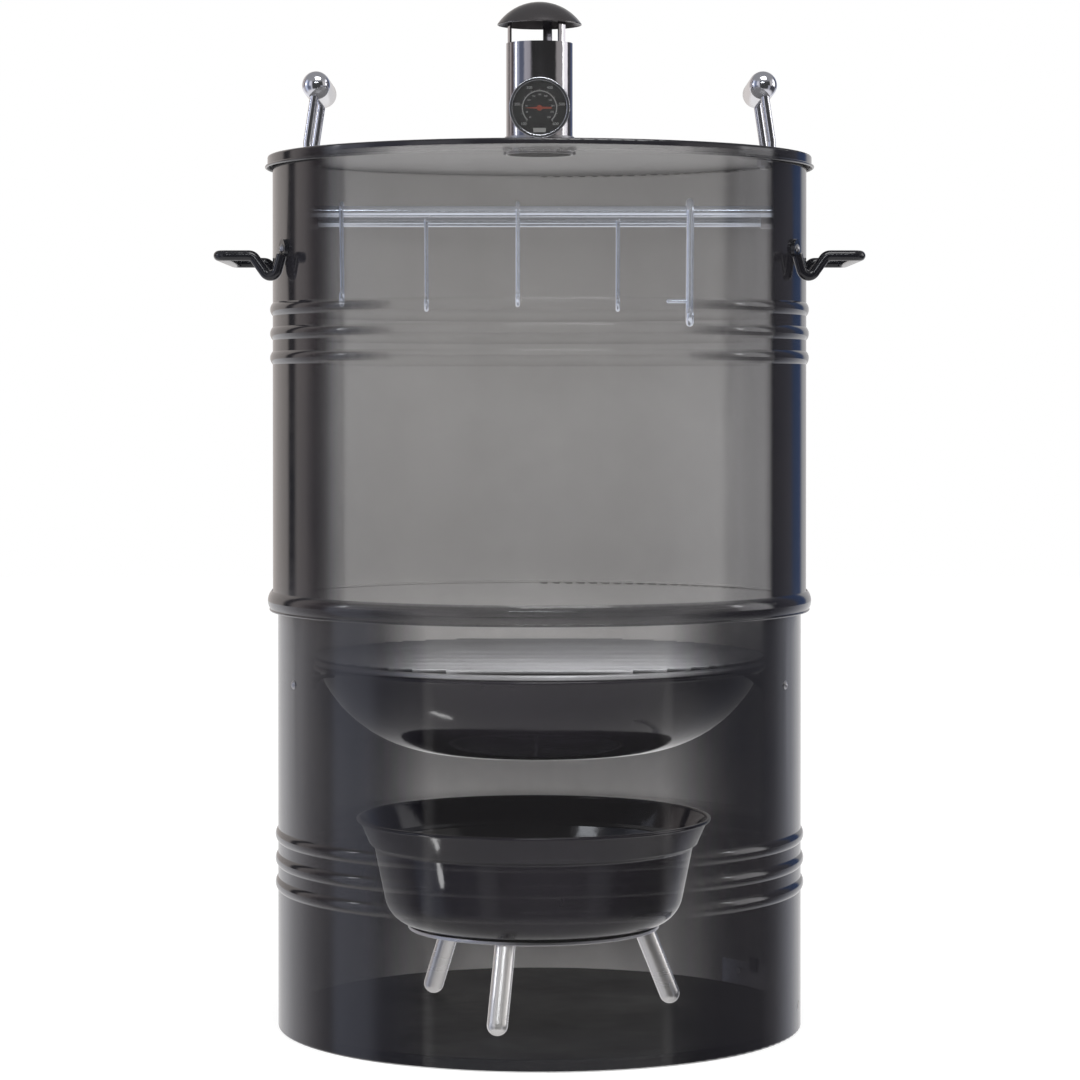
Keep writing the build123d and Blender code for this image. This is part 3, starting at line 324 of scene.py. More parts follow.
def floor_material():
    """Half glow, half matt white, and clear to mirrors."""
    made, tree = new_material("white_floor")
    glow = add(tree, "ShaderNodeEmission", Color=(1, 1, 1, 1), Strength=FLOOR_GLOW)
    matt = add(tree, "ShaderNodeBsdfDiffuse", Color=(FLOOR_TONE, FLOOR_TONE, FLOOR_TONE, 1))
    both = add(tree, "ShaderNodeAddShader")
    tree.links.new(glow.outputs[0], both.inputs[0])
    tree.links.new(matt.outputs[0], both.inputs[1])
    rays = add(tree, "ShaderNodeLightPath")
    clear = add(tree, "ShaderNodeBsdfTransparent")
    put_out(tree, mix_shaders(tree, rays.outputs["Is Glossy Ray"], both, clear))
    return made


print("share of the floor's white that is its own light:", FLOOR_GLOW)

# %% Floor
FLOOR_SIZE = 9.0
FLOOR_SQUARES = 8
FLOOR_DROP = 0.0005        # a hair under the foot, so the two never flicker


def mesh_object(name, shape, material):
    """An object from a bmesh."""
    data = bpy.data.meshes.new(name)
    shape.to_mesh(data)
    shape.free()
    made = bpy.data.objects.new(name, data)
    bpy.context.scene.collection.objects.link(made)
    data.materials.append(material)
    return made


shape = bmesh.new()
bmesh.ops.create_grid(shape, x_segments=FLOOR_SQUARES, y_segments=FLOOR_SQUARES, size=FLOOR_SIZE)
floor = mesh_object("floor", shape, floor_material())
floor.location.z = -FLOOR_DROP
print("floor is", 2 * FLOOR_SIZE, "m wide")

# %% [markdown]
# ## Effects that several finishes share
# A finish looks real when its gloss isn't quite even. Painted textures could show that,
# but they need an unwrapped mesh. Noise on the object's own coordinates needs none, and
# it stays where it is when a piece moves. Each effect is built once as a node group with
# its strengths as inputs, and every material places it with its own values. The first is
# handling haze, which makes roughness drift in soft clouds with faint smears.
# %% Helpers: groups and noise


def group(name, inputs, outputs):
    """A shader node group with its named inputs and outputs."""
    made = bpy.data.node_groups.new(name, "ShaderNodeTree")
    for label, value in inputs:
        socket = made.interface.new_socket(label, in_out="INPUT", socket_type="NodeSocketFloat")
        socket.default_value = value
    for label in outputs:
        made.interface.new_socket(label, in_out="OUTPUT", socket_type="NodeSocketFloat")
    return made, made.nodes.new("NodeGroupInput"), made.nodes.new("NodeGroupOutput")


def noise(tree, scale, detail, stretch=(1, 1, 1), rough=0.5):
    """Noise on the object's own coordinates, which may be stretched; the scale may be a socket."""
    mapping = add(tree, "ShaderNodeMapping", Scale=stretch)
    tree.links.new(add(tree, "ShaderNodeTexCoord").outputs["Object"], mapping.inputs["Vector"])
    made = add(tree, "ShaderNodeTexNoise", Detail=detail, Roughness=rough)
    if isinstance(scale, bpy.types.NodeSocket):
        tree.links.new(scale, made.inputs["Scale"])
    else:
        made.inputs["Scale"].default_value = scale
    tree.links.new(mapping.outputs[0], made.inputs["Vector"])
    return made.outputs[0]


print("helpers for effects:", [helper.__name__ for helper in (group, noise)])

# %% Handling haze
SMEAR_SCALE = 9.0
HAZE_CONTRAST, HAZE_START = 3.2, 0.45      # how steep the haze is, and how much of it counts as clean


def haze_group():
    """Roughness that drifts round a base value."""
    made, given, result = group(
        "handling_haze", [("Base", 0.1), ("Amount", 0.1), ("Scale", 6.0)], ["Roughness"])
    clouds = noise(made, given.outputs["Scale"], detail=4.0)
    smears = noise(made, SMEAR_SCALE, detail=6.0, stretch=(1, 1, 7), rough=0.65)
    spread = math_node(made, "MULTIPLY", math_node(made, "MULTIPLY", clouds, smears), HAZE_CONTRAST)
    clear = math_node(made, "SUBTRACT", spread, HAZE_START, True)
    lifted = math_node(made, "MULTIPLY", clear, given.outputs["Amount"])
    made.links.new(math_node(made, "ADD", lifted, given.outputs["Base"], True), result.inputs["Roughness"])
    return made


HAZE = haze_group()
print("made the effect", HAZE.name)

# %% [markdown]
# ## Orange peel and drawn lines
# Baked enamel and plated steel are slightly wavy, which painters call orange peel, and
# rolled or drawn steel has fine lines along it. Both are heights that a bump turns into
# a slight bending of the mirror, because real waves so low would need millions of faces.
# %% Peel and lines


def peel_group():
    """The slight waviness of enamel."""
    made, given, result = group("orange_peel", [("Scale", 140.0), ("Depth", 0.1)], ["Height"])
    bumps = noise(made, given.outputs["Scale"], detail=1.0)
    made.links.new(math_node(made, "MULTIPLY", bumps, given.outputs["Depth"]), result.inputs["Height"])
    return made


def lines_group():
    """Fine drawn lines along the object's X axis."""
    made, given, result = group("drawn_lines", [("Scale", 60.0), ("Depth", 0.1)], ["Height"])
    lines = noise(made, given.outputs["Scale"], detail=3.0, stretch=(0.15, 12, 12), rough=0.6)
    made.links.new(math_node(made, "MULTIPLY", lines, given.outputs["Depth"]), result.inputs["Height"])
    return made


PEEL, DRAWN = peel_group(), lines_group()
print("made the effects", PEEL.name, "and", DRAWN.name)

# %% [markdown]
# ## Soot and heat stain
# A smoker is never one even colour, because smoke settles on it and heat stains the
# steel. Stains could be painted by hand on each piece, but here one mask of soft clouds
# serves them all, and each finish uses it to drift between two of its own tones.
# %% Soot
SOOT_START, SOOT_CONTRAST = 0.38, 2.6      # noise under the first is clean, and the second is how steep it is


def soot_group():
    """Mask of soft clouds."""
    made, given, result = group("soot", [("Scale", 5.0), ("Amount", 0.5)], ["Mask"])
    clouds = noise(made, given.outputs["Scale"], detail=8.0, rough=0.62)
    above = math_node(made, "SUBTRACT", clouds, SOOT_START)
    centred = math_node(made, "MULTIPLY", above, SOOT_CONTRAST, True)
    made.links.new(math_node(made, "MULTIPLY", centred, given.outputs["Amount"], True), result.inputs["Mask"])
    return made


SOOT = soot_group()
print("made the effect", SOOT.name)

# %% [markdown]
# ## How a finish is made
# A surface could be mixed from a matt shader and a glossy one. The Principled shader holds
# both in the right balance and can be exported, so each finish is one of those between
# two close tones. The shared effects choose the tone, move the roughness and give a faint
# bump. Metals are told apart by how bright and how blurred their mirror is, and enamels
# by how deep and how even their gloss is.
# %% Helpers: place an effect, bend the mirror


def place_group(tree, which, **values):
    """Put a shared effect in a material with its own values."""
    node = tree.nodes.new("ShaderNodeGroup")
    node.node_tree = which
    for key, value in values.items():
        node.inputs[key].default_value = value
    return node.outputs[0]


def bump(tree, height, distance):
    """A bump node's normal from a height."""
    node = add(tree, "ShaderNodeBump", Strength=1.0, Distance=distance)
    tree.links.new(height, node.inputs["Height"])
    return node.outputs[0]


print("helpers for finishes:", [helper.__name__ for helper in (place_group, bump)])

# %% Finish
STAIN_SCALE = 5.0
PEEL_DISTANCE, LINE_DISTANCE = 0.001, 0.0005     # height of full bump, in metres


def finish(name, tones, rough, haze, metallic=0.0, soot=0.3, peel=0.0, peel_scale=140.0,
           drawn=0.0, specular=0.5):
    """A finish whose colour drifts between two tones."""
    made, tree = new_material(name)
    shader = add(tree, "ShaderNodeBsdfPrincipled", Metallic=metallic)
    shader.inputs["Specular IOR Level"].default_value = specular
    mask = place_group(tree, SOOT, Scale=STAIN_SCALE, Amount=soot)
    tree.links.new(mix_colour(tree, mask, *tones), shader.inputs["Base Color"])
    tree.links.new(place_group(tree, HAZE, Base=rough, Amount=haze), shader.inputs["Roughness"])
    if drawn:
        height = place_group(tree, DRAWN, Depth=drawn)
        tree.links.new(bump(tree, height, LINE_DISTANCE), shader.inputs["Normal"])
    elif peel:
        height = place_group(tree, PEEL, Scale=peel_scale, Depth=peel)
        tree.links.new(bump(tree, height, PEEL_DISTANCE), shader.inputs["Normal"])
    put_out(tree, shader)
    return made


materials = {}


def add_finishes(values):
    """Make a finish for each row, under its own name."""
    for name, settings in values.items():
        materials[name] = finish(name, **settings)
    print("finishes so far:", len(materials), "the newest being", ", ".join(values))


print("finishes so far:", len(materials))

# %% [markdown]
# ## Black surfaces
# The fire bowl and the drip pan are vitreous enamel, glass fused to steel, so they are
# deep black with a sharp gloss. The floor plate is dulled by ash. The brackets and clips
# are plain dark steel, the side handles are painted rod, and the rain hat is black
# chrome, dark but still a metal.
# %% Black finishes
add_finishes({
    "bowl_enamel": dict(
        tones=((0.006, 0.005, 0.008), (0.014, 0.012, 0.016)), rough=0.07, haze=0.10,
        soot=0.6, peel=0.12, peel_scale=90, specular=0.32),
    "floor_black": dict(
        tones=((0.010, 0.010, 0.012), (0.024, 0.023, 0.023)), rough=0.62, haze=0.2,
        soot=0.8, peel=0.3, peel_scale=60, specular=0.12),
    "dark_steel": dict(
        tones=((0.012, 0.012, 0.015), (0.026, 0.024, 0.024)), rough=0.34, haze=0.2,
        metallic=0.1, soot=0.8, peel=0.4, peel_scale=60),
    "black_rod": dict(
        tones=((0.006, 0.006, 0.008), (0.015, 0.015, 0.017)), rough=0.08, haze=0.10,
        soot=0.4, peel=0.2, peel_scale=200),
    "hat_black": dict(
        tones=((0.085, 0.080, 0.082), (0.13, 0.12, 0.12)), rough=0.22, haze=0.15,
        metallic=0.8, soot=0.5, peel=0.05, peel_scale=200),
})

# %% [markdown]
# ## Bright metals
# Chrome on the lid's grips and knob mirrors most. The chimney's tube is dark chrome. The
# hanging bars and hooks are zinc plated, which has a bluish cast. The bowl's legs are
# duller tube, and both grates, the fasteners and the flange are bare steel, with fine
# lines from the drawing die. The cooking grate has been greyed by heat. A metal shows
# little but its mirror, so its tint is slight and its roughness says most.
# %% Metals
add_finishes({
    "chrome": dict(
        tones=((0.80, 0.81, 0.86), (0.66, 0.66, 0.70)), rough=0.06, haze=0.10,
        metallic=1.0, soot=0.4, peel=0.05, peel_scale=300),
    "gunmetal": dict(
        tones=((0.42, 0.41, 0.43), (0.36, 0.34, 0.35)), rough=0.07, haze=0.10,
        metallic=1.0, soot=0.4, peel=0.05, peel_scale=200),
    "zinc": dict(
        tones=((0.78, 0.84, 0.95), (0.66, 0.70, 0.80)), rough=0.14, haze=0.06,
        metallic=0.80, soot=0.5, peel=0.01, peel_scale=300),
    "leg_steel": dict(
        tones=((0.74, 0.73, 0.72), (0.50, 0.49, 0.48)), rough=0.22, haze=0.14,
        metallic=0.72, soot=0.5, peel=0.05, peel_scale=300),
    "grate_steel": dict(
        tones=((0.47, 0.47, 0.49), (0.27, 0.265, 0.265)), rough=0.38, haze=0.2,
        metallic=0.75, soot=0.8, drawn=0.3),
    "steel": dict(
        tones=((0.46, 0.46, 0.48), (0.30, 0.29, 0.29)), rough=0.28, haze=0.2,
        metallic=1.0, soot=0.5, drawn=0.5),
})

# %% [markdown]
# ## The thermometer's colours
# The dial is matt black with white print, so that it can be read at a slant, and the
# needle is painted red. Ink and paint have no metal in them and only a dull gloss. Pure
# black and white would look cut from paper, so these drift between two tones as well.
# %% Dial finishes
add_finishes({
    "dial_black": dict(
        tones=((0.012, 0.012, 0.013), (0.02, 0.02, 0.02)), rough=0.5, haze=0.1,
        peel=0.1, peel_scale=400),
    "dial_white": dict(tones=((0.75, 0.75, 0.74), (0.60, 0.60, 0.58)), rough=0.5, haze=0.1),
    "needle_red": dict(tones=((0.62, 0.10, 0.045), (0.50, 0.07, 0.03)), rough=0.35, haze=0.1),
})

# %% [markdown]
# ## Clear glass
# The thermometer's window is the only real glass. A Glass shader would do, but Principled
# with full transmission bends light the same way and can be exported, and a trace of
# haze keeps it from being perfect.
# %% Glass
GLASS_BENDING = 1.45


def glass_material():
    """Clear glass with a trace of haze."""
    made, tree = new_material("clear_glass")
    shader = add(tree, "ShaderNodeBsdfPrincipled")
    shader.inputs["Transmission Weight"].default_value = 1.0
    shader.inputs["IOR"].default_value = GLASS_BENDING
    tree.links.new(place_group(tree, HAZE, Base=0.01, Amount=0.05), shader.inputs["Roughness"])
    put_out(tree, shader)
    return made


materials["clear_glass"] = glass_material()
print("glass bends light by", GLASS_BENDING)

# %% [markdown]
# ## The see-through shell
# The front of the barrel is shown as if it were tinted glass, so that bars, hooks, grate,
# pan and fire bowl can be seen. The real shell is steel. Cutting a hole would change its
# form, so its form stays whole and only its finish fades: a mask in the object's own
# space makes the front clear and leaves the sides, the back and the raised edges solid.
# The mask never asks where the camera is, so it stays on the barrel from every side. It
# also tells the wall's inner face, by the direction of its normal.
# %% Values of the window
# Each edge is (where it starts, where it ends, how much it adds), as sines of the angle from the front.
UPPER_EDGES = [(-0.66, -0.87, 1.0), (0.60, 0.80, 0.36), (0.828, 0.852, 0.64)]
LOWER_EDGES = [(-0.34, -0.68, 0.72), (-0.80, -0.89, 0.28), (0.40, 0.76, 0.78), (0.80, 0.87, 0.22)]
UPPER_RADIUS, LOWER_RADIUS = 0.2880, 0.2825     # of the plain shell, without its beads
JOINT_BLEND = 0.004            # below and above the joint, lower edges to upper ones
BACK = (-0.05, 0.05)           # shares of the radius behind the axis, clear front to solid back
INWARD = (0.3, -0.3)           # how far a normal leans out or in, outer face to inner face
RAISED = (0.0008, 0.0022)      # a bead or curl stands out this far, none to full
RAISED_SIDE = (0.45, 0.80)     # raised edges show more towards the sides
RAISED_SHARE = 0.75            # how solid they are there
print("the barrel is clear between the sines", UPPER_EDGES[0][0], "and", UPPER_EDGES[1][0])

# %% [markdown]
# ## The window as a shared effect
# Shells, hoop and lid all need the same window, so it is one node group. A painted mask
# would have to be made for each of them, but plain geometry serves all: X over the
# distance from the axis is the sine of the angle from the front, the distance itself
# tells a bead from the plain wall, and a normal that points to the axis belongs to an
# inner face.
# %% Helpers for the window
MIX_VALUES = (2, 3)            # where a Mix node keeps its two plain values


def mix_values(tree, factor, first, second):
    """The first value where the factor is 0, the second where it is 1."""
    node = add(tree, "ShaderNodeMix", data_type="FLOAT")
    tree.links.new(factor, node.inputs[0])
    for place, value in zip(MIX_VALUES, (first, second)):
        tree.links.new(value, node.inputs[place])
    return node.outputs[0]


def axes_of(tree, output):
    """X, Y and Z of a texture coordinate."""
    split = add(tree, "ShaderNodeSeparateXYZ")
    tree.links.new(add(tree, "ShaderNodeTexCoord").outputs[output], split.inputs[0])
    return split.outputs["X"], split.outputs["Y"], split.outputs["Z"]


def edges(tree, sideways, steps):
    """Add up the solid share of each edge."""
    total = 0.0
    for start, end, share in steps:
        part = math_node(tree, "MULTIPLY", smooth(tree, sideways, start, end), share)
        total = math_node(tree, "ADD", part, total)
    return total


def sum_of_products(tree, first, second, third, fourth):
    """first * second + third * fourth."""
    return math_node(tree, "ADD", math_node(tree, "MULTIPLY", first, second),
                     math_node(tree, "MULTIPLY", third, fourth))


print("window helpers:", [helper.__name__ for helper in (mix_values, axes_of, edges, sum_of_products)])

# %% The window


def raised_mask(tree, radius, sideways, is_upper, in_front):
    """How solid a bead, curl or hoop is: by how far it stands out, and how far to the side it is."""
    wider = math_node(tree, "MULTIPLY", is_upper, UPPER_RADIUS - LOWER_RADIUS)
    plain = math_node(tree, "ADD", wider, LOWER_RADIUS)
    raised = smooth(tree, math_node(tree, "SUBTRACT", radius, plain), *RAISED)
    side = smooth(tree, math_node(tree, "ABSOLUTE", sideways), *RAISED_SIDE)
    share = math_node(tree, "MAXIMUM", math_node(tree, "MULTIPLY", side, RAISED_SHARE), in_front)
    return math_node(tree, "MULTIPLY", raised, share)


def window_group():
    """Solid is 1 where the barrel is solid, Inside is 1 on a face that looks at the axis."""
    made, given, result = group("front_window", [("Raised in front", 0.0)], ["Solid", "Inside", "Height"])
    x, y, z = axes_of(made, "Object")
    across, deep, _ = axes_of(made, "Normal")
    radius = math_node(made, "SQRT", sum_of_products(made, x, x, y, y))
    sideways = math_node(made, "DIVIDE", x, radius)
    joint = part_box("upper_shell")[0][2]
    is_upper = smooth(made, z, joint - JOINT_BLEND, joint + JOINT_BLEND)
    below, above = (edges(made, sideways, steps) for steps in (LOWER_EDGES, UPPER_EDGES))
    window = mix_values(made, is_upper, below, above)
    behind = smooth(made, math_node(made, "DIVIDE", y, radius), *BACK)
    raised = raised_mask(made, radius, sideways, is_upper, given.outputs["Raised in front"])
    solid = math_node(made, "MAXIMUM", math_node(made, "MAXIMUM", window, behind), raised)
    made.links.new(solid, result.inputs["Solid"])
    outward = math_node(made, "DIVIDE", sum_of_products(made, x, across, y, deep), radius)
    made.links.new(smooth(made, outward, *INWARD), result.inputs["Inside"])
    made.links.new(z, result.inputs["Height"])
    return made


WINDOW = window_group()
print("made the effect", WINDOW.name, "with", len(WINDOW.nodes), "nodes")

# %% [markdown]
# ## Enamel with a window
# Inside, the wall is a smoked grey, painted paler low down as painted light where the pan and bowl shade it.
# Full transmission would bend everything that stands behind, which a thin wall doesn't,
# so the clear part is a low alpha instead. It keeps a thin veil with slow clouds in it,
# like the smoke behind it, and looks more solid where it is seen at a slant, as tinted
# glass does. Only that slant depends on the view. The lid's turned-down edge is clear
# too, but its rim stays a dark line.
# %% Values of the enamel
VEIL_BELOW, VEIL_ABOVE = 0.015, 0.15       # how solid the clear part still is, low down and high up
VEIL_CHANGE = (0.36, 0.50)                 # heights between which the one turns into the other
VEIL_TONE = (0.19, 0.186, 0.184)
VEIL_SHARE = (0.12, 0.02)                  # the veil's tone shows only where the barrel is this clear
GRAZING_POWER, GRAZING_SHARE = 3.0, 0.8    # the tint at a slant: how late it starts, and how much
SMOKE_SCALE, SMOKE_DRIFT = 2.4, 0.45       # the veil's clouds: how fine, and how uneven
ENAMEL, ENAMEL_WORN = (0.010, 0.010, 0.013), (0.020, 0.018, 0.019)
# the lower inner wall is painted much paler than the upper: painted light against the shade of pan and bowl
WALL_ABOVE, WALL_BELOW_PAINTED_LIGHT = (0.42, 0.41, 0.405), (0.86, 0.84, 0.83)
WALL_SOOT, WALL_SOOT_SHARE = (0.30, 0.29, 0.285), 0.7
GLOSS, GLOSS_DRIFT, WALL_ROUGHER = 0.06, 0.07, 0.45
WAVES, WAVE_DEPTH = 34, 0.05               # the peel on so large a wall is broad and low
STAIN_BREADTH, STAIN_AMOUNT = 4.0, 0.8
LID_RISE = 0.002                           # the lid's edge turns over this far above the shell
RIM_LINE, RIM_BLEND = 0.006, 0.001         # height of the dark line on it, and how soft it starts
HOOP_IN_FRONT = 0.5                        # how solid the hoop stays across the window
print("the wall turns from pale to grey between", *VEIL_CHANGE, "m")

# %% Veil and colours of the enamel


def veil_strength(tree, inside, rise):
    """How solid the clear front still is; the inner face has no veil."""
    clouds = place_group(tree, SOOT, Scale=SMOKE_SCALE, Amount=1.0)
    drift = math_node(tree, "MULTIPLY", clouds, 2 * SMOKE_DRIFT)
    smoke = math_node(tree, "ADD", drift, 1.0 - SMOKE_DRIFT)
    above = math_node(tree, "MULTIPLY", math_node(tree, "MULTIPLY", rise, VEIL_ABOVE - VEIL_BELOW), smoke)
    strength = math_node(tree, "ADD", above, VEIL_BELOW)
    slanted = add(tree, "ShaderNodeLayerWeight", Blend=0.5).outputs["Facing"]
    grazing = math_node(tree, "MULTIPLY", math_node(tree, "POWER", slanted, GRAZING_POWER), GRAZING_SHARE)
    tinted = math_node(tree, "ADD", strength, grazing, True)
    return math_node(tree, "MULTIPLY", math_node(tree, "SUBTRACT", 1.0, inside), tinted)


def enamel_colour(tree, solid, inside, rise):
    """Black outside with the veil's tone where clear, smoked grey inside and painted paler low down against
    the pan's shade.
    """
    soot = place_group(tree, SOOT, Scale=STAIN_BREADTH, Amount=STAIN_AMOUNT)
    enamel = mix_colour(tree, soot, ENAMEL, ENAMEL_WORN)
    outer = mix_colour(tree, smooth(tree, solid, *VEIL_SHARE), enamel, VEIL_TONE)
    # painted light: the wall is paler low down, where the pan and bowl shade it
    wall = mix_colour(tree, rise, WALL_BELOW_PAINTED_LIGHT, WALL_ABOVE)
    inner = mix_colour(tree, math_node(tree, "MULTIPLY", soot, WALL_SOOT_SHARE), wall, WALL_SOOT)
    return mix_colour(tree, inside, outer, inner)


print("helpers for the enamel:", [helper.__name__ for helper in (veil_strength, enamel_colour)])

# %% Enamel of shells, hoop and lid


def windowed_enamel(name, rim_height=None, raised=0.0):
    """Black enamel outside and smoked grey inside, clear in front; above rim_height it is solid."""
    made, tree = new_material(name)
    window = place_group(tree, WINDOW, **{"Raised in front": raised}).node
    solid, inside, height = (window.outputs[label] for label in ("Solid", "Inside", "Height"))
    if rim_height:
        solid = math_node(tree, "MAXIMUM", solid, smooth(tree, height, rim_height - RIM_BLEND, rim_height))
    rise = smooth(tree, height, *VEIL_CHANGE)
    shader = add(tree, "ShaderNodeBsdfPrincipled", Metallic=0.0)
    tree.links.new(enamel_colour(tree, solid, inside, rise), shader.inputs["Base Color"])
    haze = place_group(tree, HAZE, Base=GLOSS, Amount=GLOSS_DRIFT)
    rough = math_node(tree, "ADD", haze, math_node(tree, "MULTIPLY", inside, WALL_ROUGHER), True)
    tree.links.new(rough, shader.inputs["Roughness"])
    veil = veil_strength(tree, inside, rise)
    tree.links.new(math_node(tree, "MAXIMUM", solid, veil), shader.inputs["Alpha"])
    peel = place_group(tree, PEEL, Scale=WAVES, Depth=WAVE_DEPTH)
    tree.links.new(bump(tree, peel, PEEL_DISTANCE), shader.inputs["Normal"])
    put_out(tree, shader)
    return made


rim_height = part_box("upper_shell")[1][2] + LID_RISE - RIM_LINE
materials["shell_enamel"] = windowed_enamel("shell_enamel")
materials["lid_enamel"] = windowed_enamel("lid_enamel", rim_height)
materials["hoop_enamel"] = windowed_enamel("hoop_enamel", raised=HOOP_IN_FRONT)
print("the lid's rim line starts at", round(1000 * rim_height, 1), "mm")

# %% [markdown]
# ## Dressing the pieces
# A material can be given to each piece by hand in its properties. Many pieces share a
# finish here, so a table lists which piece names start which way. Where two rows fit a
# name, the later one counts, so the bolts of legs and brackets end up as plain steel.
# %% Give every construction piece its finish
FINISHES = {
    "shell_enamel": ["lower_shell", "upper_shell"],
    "hoop_enamel": ["joint_hoop"],
    "lid_enamel": ["lid_pan"],
    "bowl_enamel": ["fire_bowl", "drip_pan"],
    "floor_black": ["floor_plate"],
    "dark_steel": ["pan_bracket", "shutter_guide"],
    "chrome": ["lid_handle", "shutter_knob", "thermometer_bezel", "thermometer_case"],
    "zinc": ["hanging_bar", "hook_"],
    "leg_steel": ["bowl_leg_"],
    "grate_steel": ["cooking_grate"],
    "steel": ["fire_grate", "bowl_base_ring", "bowl_leg_bolt", "pan_bracket_bolts", "side_handle_bolts",
              "lid_nuts", "chimney_flange", "thermometer_nut", "bar_cradle", "shutter_strip"],
    "gunmetal": ["chimney_tube", "hat_strap"],
    "hat_black": ["chimney_hat"],
    "black_rod": ["side_handle_left", "side_handle_right"],
    "dial_black": ["thermometer_dial"],
    "needle_red": ["thermometer_needle"],
    "clear_glass": ["thermometer_glass"],
}


def dress(node, material):
    """Give one finish to a construction piece."""
    node.data.materials.clear()
    node.data.materials.append(material)


for finish_name, starts in FINISHES.items():
    for name, node in nodes.items():
        if any(name.startswith(start) for start in starts):
            dress(node, materials[finish_name])
print("dressed pieces:", sum(bool(node.data.materials) for node in nodes.values()))

# %% [markdown]
# ## What mirrors look past
# The shells are see-through in front, so the mirrors inside should show the studio and
# not the wall that stands between. Their material could be made clear to mirror rays, as
# the floor's is, but a switch on each object does the same: shells, hoop and floor plate
# are hidden from mirror rays.
# %% Hide the walls from mirrors
SEEN_THROUGH = ["lower_shell", "upper_shell", "joint_hoop", "floor_plate"]
for name in SEEN_THROUGH:
    nodes[name].visible_glossy = False
print("mirrors look past", ", ".join(SEEN_THROUGH))

# %% [markdown]
# ## Round ends for the lid's grips
# Each lid handle is a bent rod with a thick chrome grip on it. The grip is turned on a
# lathe with a ball at each end that swallows the bend of the rod. A cylinder and two
# spheres would leave seams where they meet, but a turned piece is a profile spun about
# its axis, so a short list of rings and a loop make it in one skin.
# %% A lathe
LATHE_STEPS = 72
BALL_STEPS = 14


def ring_point(centre, along, radius, step):
    """A point of a ring round a line along Y."""
    turn = 2 * math.pi * step / LATHE_STEPS
    return centre + Vector((radius * math.cos(turn), along, radius * math.sin(turn)))


def turned(name, profile, centre, material):
    """Spin (place along Y, radius) rings about the Y axis; zero radius closes an end."""
    shape = bmesh.new()
    rings = []
    for along, radius in profile:
        count = 1 if radius == 0 else LATHE_STEPS
        rings.append([shape.verts.new(ring_point(centre, along, radius, step)) for step in range(count)])
    for first, second in zip(rings, rings[1:]):
        for step in range(LATHE_STEPS):
            after = (step + 1) % LATHE_STEPS
            corners = [first[step % len(first)], first[after % len(first)],
                       second[after % len(second)], second[step % len(second)]]
            shape.faces.new(list(dict.fromkeys(corners)))
    bmesh.ops.recalc_face_normals(shape, faces=shape.faces)
    for face in shape.faces:
        face.smooth = True
    return mesh_object(name, shape, material)


print("the lathe turns", LATHE_STEPS, "faces to a round")

# %% Lid grips
BALL_INSET = 0.9           # ball's centre inside the rod's outer end, in radii


def lid_grip(side):
    """A chrome grip with ball ends, in place of the plain one."""
    grip_low, grip_high = (Vector(corner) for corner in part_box("lid_handle_grip_" + side))
    rod_low, rod_high = (Vector(corner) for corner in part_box("lid_handle_rod_" + side))
    radius = (grip_high.z - grip_low.z) / 2
    ball = (rod_high.y - rod_low.y) / 2 - radius * BALL_INSET
    ends = [(ball + radius * math.sin(math.pi / 2 * step / BALL_STEPS),
             radius * math.cos(math.pi / 2 * step / BALL_STEPS)) for step in range(BALL_STEPS)]
    profile = [(-along, size) for along, size in reversed(ends)] + ends
    profile = [(-ball - radius, 0.0)] + profile + [(ball + radius, 0.0)]
    grip = turned("lid_grip_" + side, profile, (grip_low + grip_high) / 2, materials["chrome"])
    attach(grip, "lid")
    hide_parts("lid_handle_grip_" + side)
    return 2 * (ball + radius)


for side in ("left", "right"):
    print("the", side, "grip is", round(1000 * lid_grip(side)), "mm long")

# %% [markdown]
# ## The printed dial
# The thermometer's face is a black disc with white print: a broken ring, ticks on it,
# large numbers outside and small ones inside. A picture of a dial could be laid on the
# disc, but flat shapes just proud of it stay sharp from any distance and need no
# picture file. The first helpers place points on the face and ink between them.
# %% Ink on the dial
INK = 0.00005              # the print lies this far before the disc
RING_R, RING_WIDTH, RING_STEPS = 0.0182, 0.0008, 72
SWEEP_START, SWEEP_END = -135.0, 135.0      # degrees from twelve o'clock

dial_low, dial_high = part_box("thermometer_dial")
dial_centre = Vector(((dial_low[0] + dial_high[0]) / 2, dial_low[1], (dial_low[2] + dial_high[2]) / 2))


def on_dial(radius, degrees, lift):
    """A point of the dial's face, clockwise from twelve."""
    turn = math.radians(degrees)
    return dial_centre + Vector((radius * math.sin(turn), -lift, radius * math.cos(turn)))


def on_sweep(share):
    """The angle at a share of the scale, 0 at its start and 1 at its end."""
    return SWEEP_START + (SWEEP_END - SWEEP_START) * share


def ink_patch(shape, corners):
    """A flat patch of ink through (radius, degrees) corners."""
    shape.faces.new([shape.verts.new(on_dial(radius, degrees, INK)) for radius, degrees in corners])


def ink_ring(shape):
    """The broken ring, in short steps."""
    low, high = RING_R - RING_WIDTH / 2, RING_R + RING_WIDTH / 2
    for step in range(RING_STEPS):
        first, second = on_sweep(step / RING_STEPS), on_sweep((step + 1) / RING_STEPS)
        ink_patch(shape, [(low, first), (high, first), (high, second), (low, second)])


print("the dial's ring is broken over", 360 - (SWEEP_END - SWEEP_START), "degrees")

# %% [markdown]
# ## Ticks and numbers
# Every fifth tick is a long one. The large numbers are Fahrenheit and the small ones
# Celsius. Text objects could stay text, but turned into mesh they look the same wherever
# the model goes, and Blender's own font is always at hand. Filling its outlines leaves a
# few faces without area, and they are taken out, so the mesh is clean.
# %% Ticks
MAJOR_STEPS, MINOR_STEPS = 10, 5            # long ticks, and short steps between two of them
LONG_TICK, SHORT_TICK, TICK_HALF_WIDTH = 0.0022, 0.0011, 0.00022


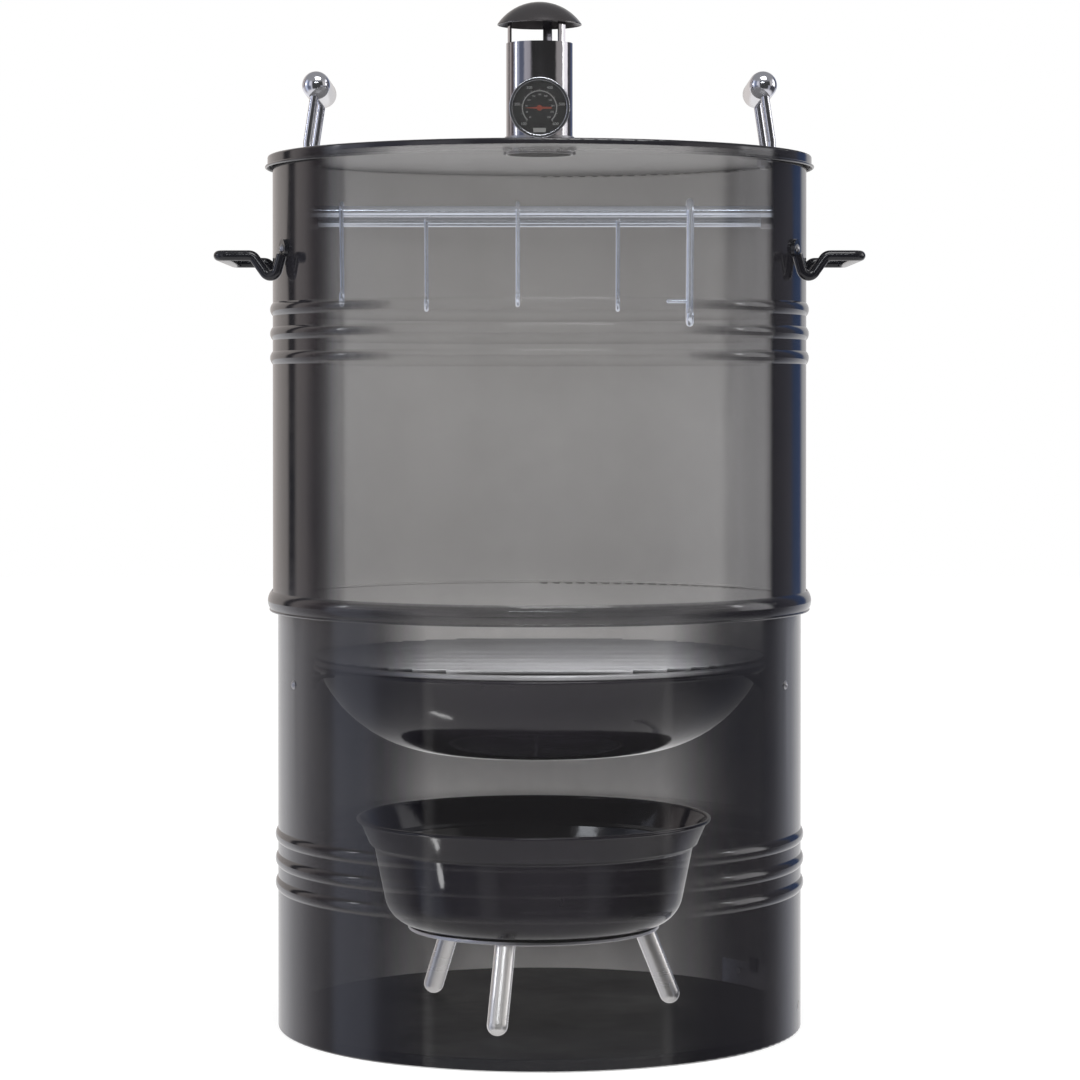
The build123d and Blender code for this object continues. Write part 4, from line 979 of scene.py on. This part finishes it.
def ink_ticks(shape):
    """Ticks outward from the ring."""
    half = math.degrees(TICK_HALF_WIDTH / RING_R)
    count = MAJOR_STEPS * MINOR_STEPS
    for step in range(count + 1):
        angle = on_sweep(step / count)
        reach = LONG_TICK if step % MINOR_STEPS == 0 else SHORT_TICK
        ink_patch(shape, [(RING_R, angle - half), (RING_R + reach, angle - half),
                          (RING_R + reach, angle + half), (RING_R, angle + half)])


print("ticks on the dial:", MAJOR_STEPS * MINOR_STEPS + 1)

# %% Numbers
FONT_CURVE_STEPS = 3


def ink_number(shape, text, degrees, radius, height):
    """A number standing upright at a place on the dial."""
    letters = bpy.data.curves.new("number", "FONT")
    letters.body = text
    letters.size = height
    letters.align_x = "CENTER"
    letters.align_y = "CENTER"
    letters.resolution_u = FONT_CURVE_STEPS
    holder = bpy.data.objects.new("number", letters)
    flat = bpy.data.meshes.new_from_object(holder)
    upright = Matrix.Translation(on_dial(radius, degrees, INK)) @ Matrix.Rotation(math.radians(90), 4, "X")
    flat.transform(upright)
    shape.from_mesh(flat)
    bpy.data.objects.remove(holder)
    bpy.data.curves.remove(letters)
    bpy.data.meshes.remove(flat)


print("each curve of a letter gets", FONT_CURVE_STEPS, "steps")

# %% The whole print
OUTER_NUMBERS = {"radius": 0.0242, "height": 0.0043}
INNER_NUMBERS = {"radius": 0.0142, "height": 0.0026}
FAHRENHEIT, CELSIUS = (100, 50), (40, 28)   # where each scale starts, and what a long step adds
OUTER_EVERY = 2                             # long steps between two of the large numbers
BARE_BAR = [(0.0225, 162), (0.0268, 166), (0.0268, 194), (0.0225, 198)]
NO_AREA = 1e-11


def dial_print():
    """All the print as one piece: ring, ticks, numbers and a bare bar at the foot."""
    shape = bmesh.new()
    ink_ring(shape)
    ink_ticks(shape)
    for (start, added), every, place in (
            (FAHRENHEIT, OUTER_EVERY, OUTER_NUMBERS), (CELSIUS, 1, INNER_NUMBERS)):
        for step in range(0, MAJOR_STEPS + 1, every):
            ink_number(shape, str(start + added * step), on_sweep(step / MAJOR_STEPS), **place)
    ink_patch(shape, BARE_BAR)
    empty = [face for face in shape.faces if face.calc_area() < NO_AREA]
    bmesh.ops.delete(shape, geom=empty, context="FACES")
    bmesh.ops.recalc_face_normals(shape, faces=shape.faces)
    return mesh_object("dial_print", shape, materials["dial_white"])


print_layer = dial_print()
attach(print_layer, "lid")
print("faces of print on the dial:", len(print_layer.data.polygons))
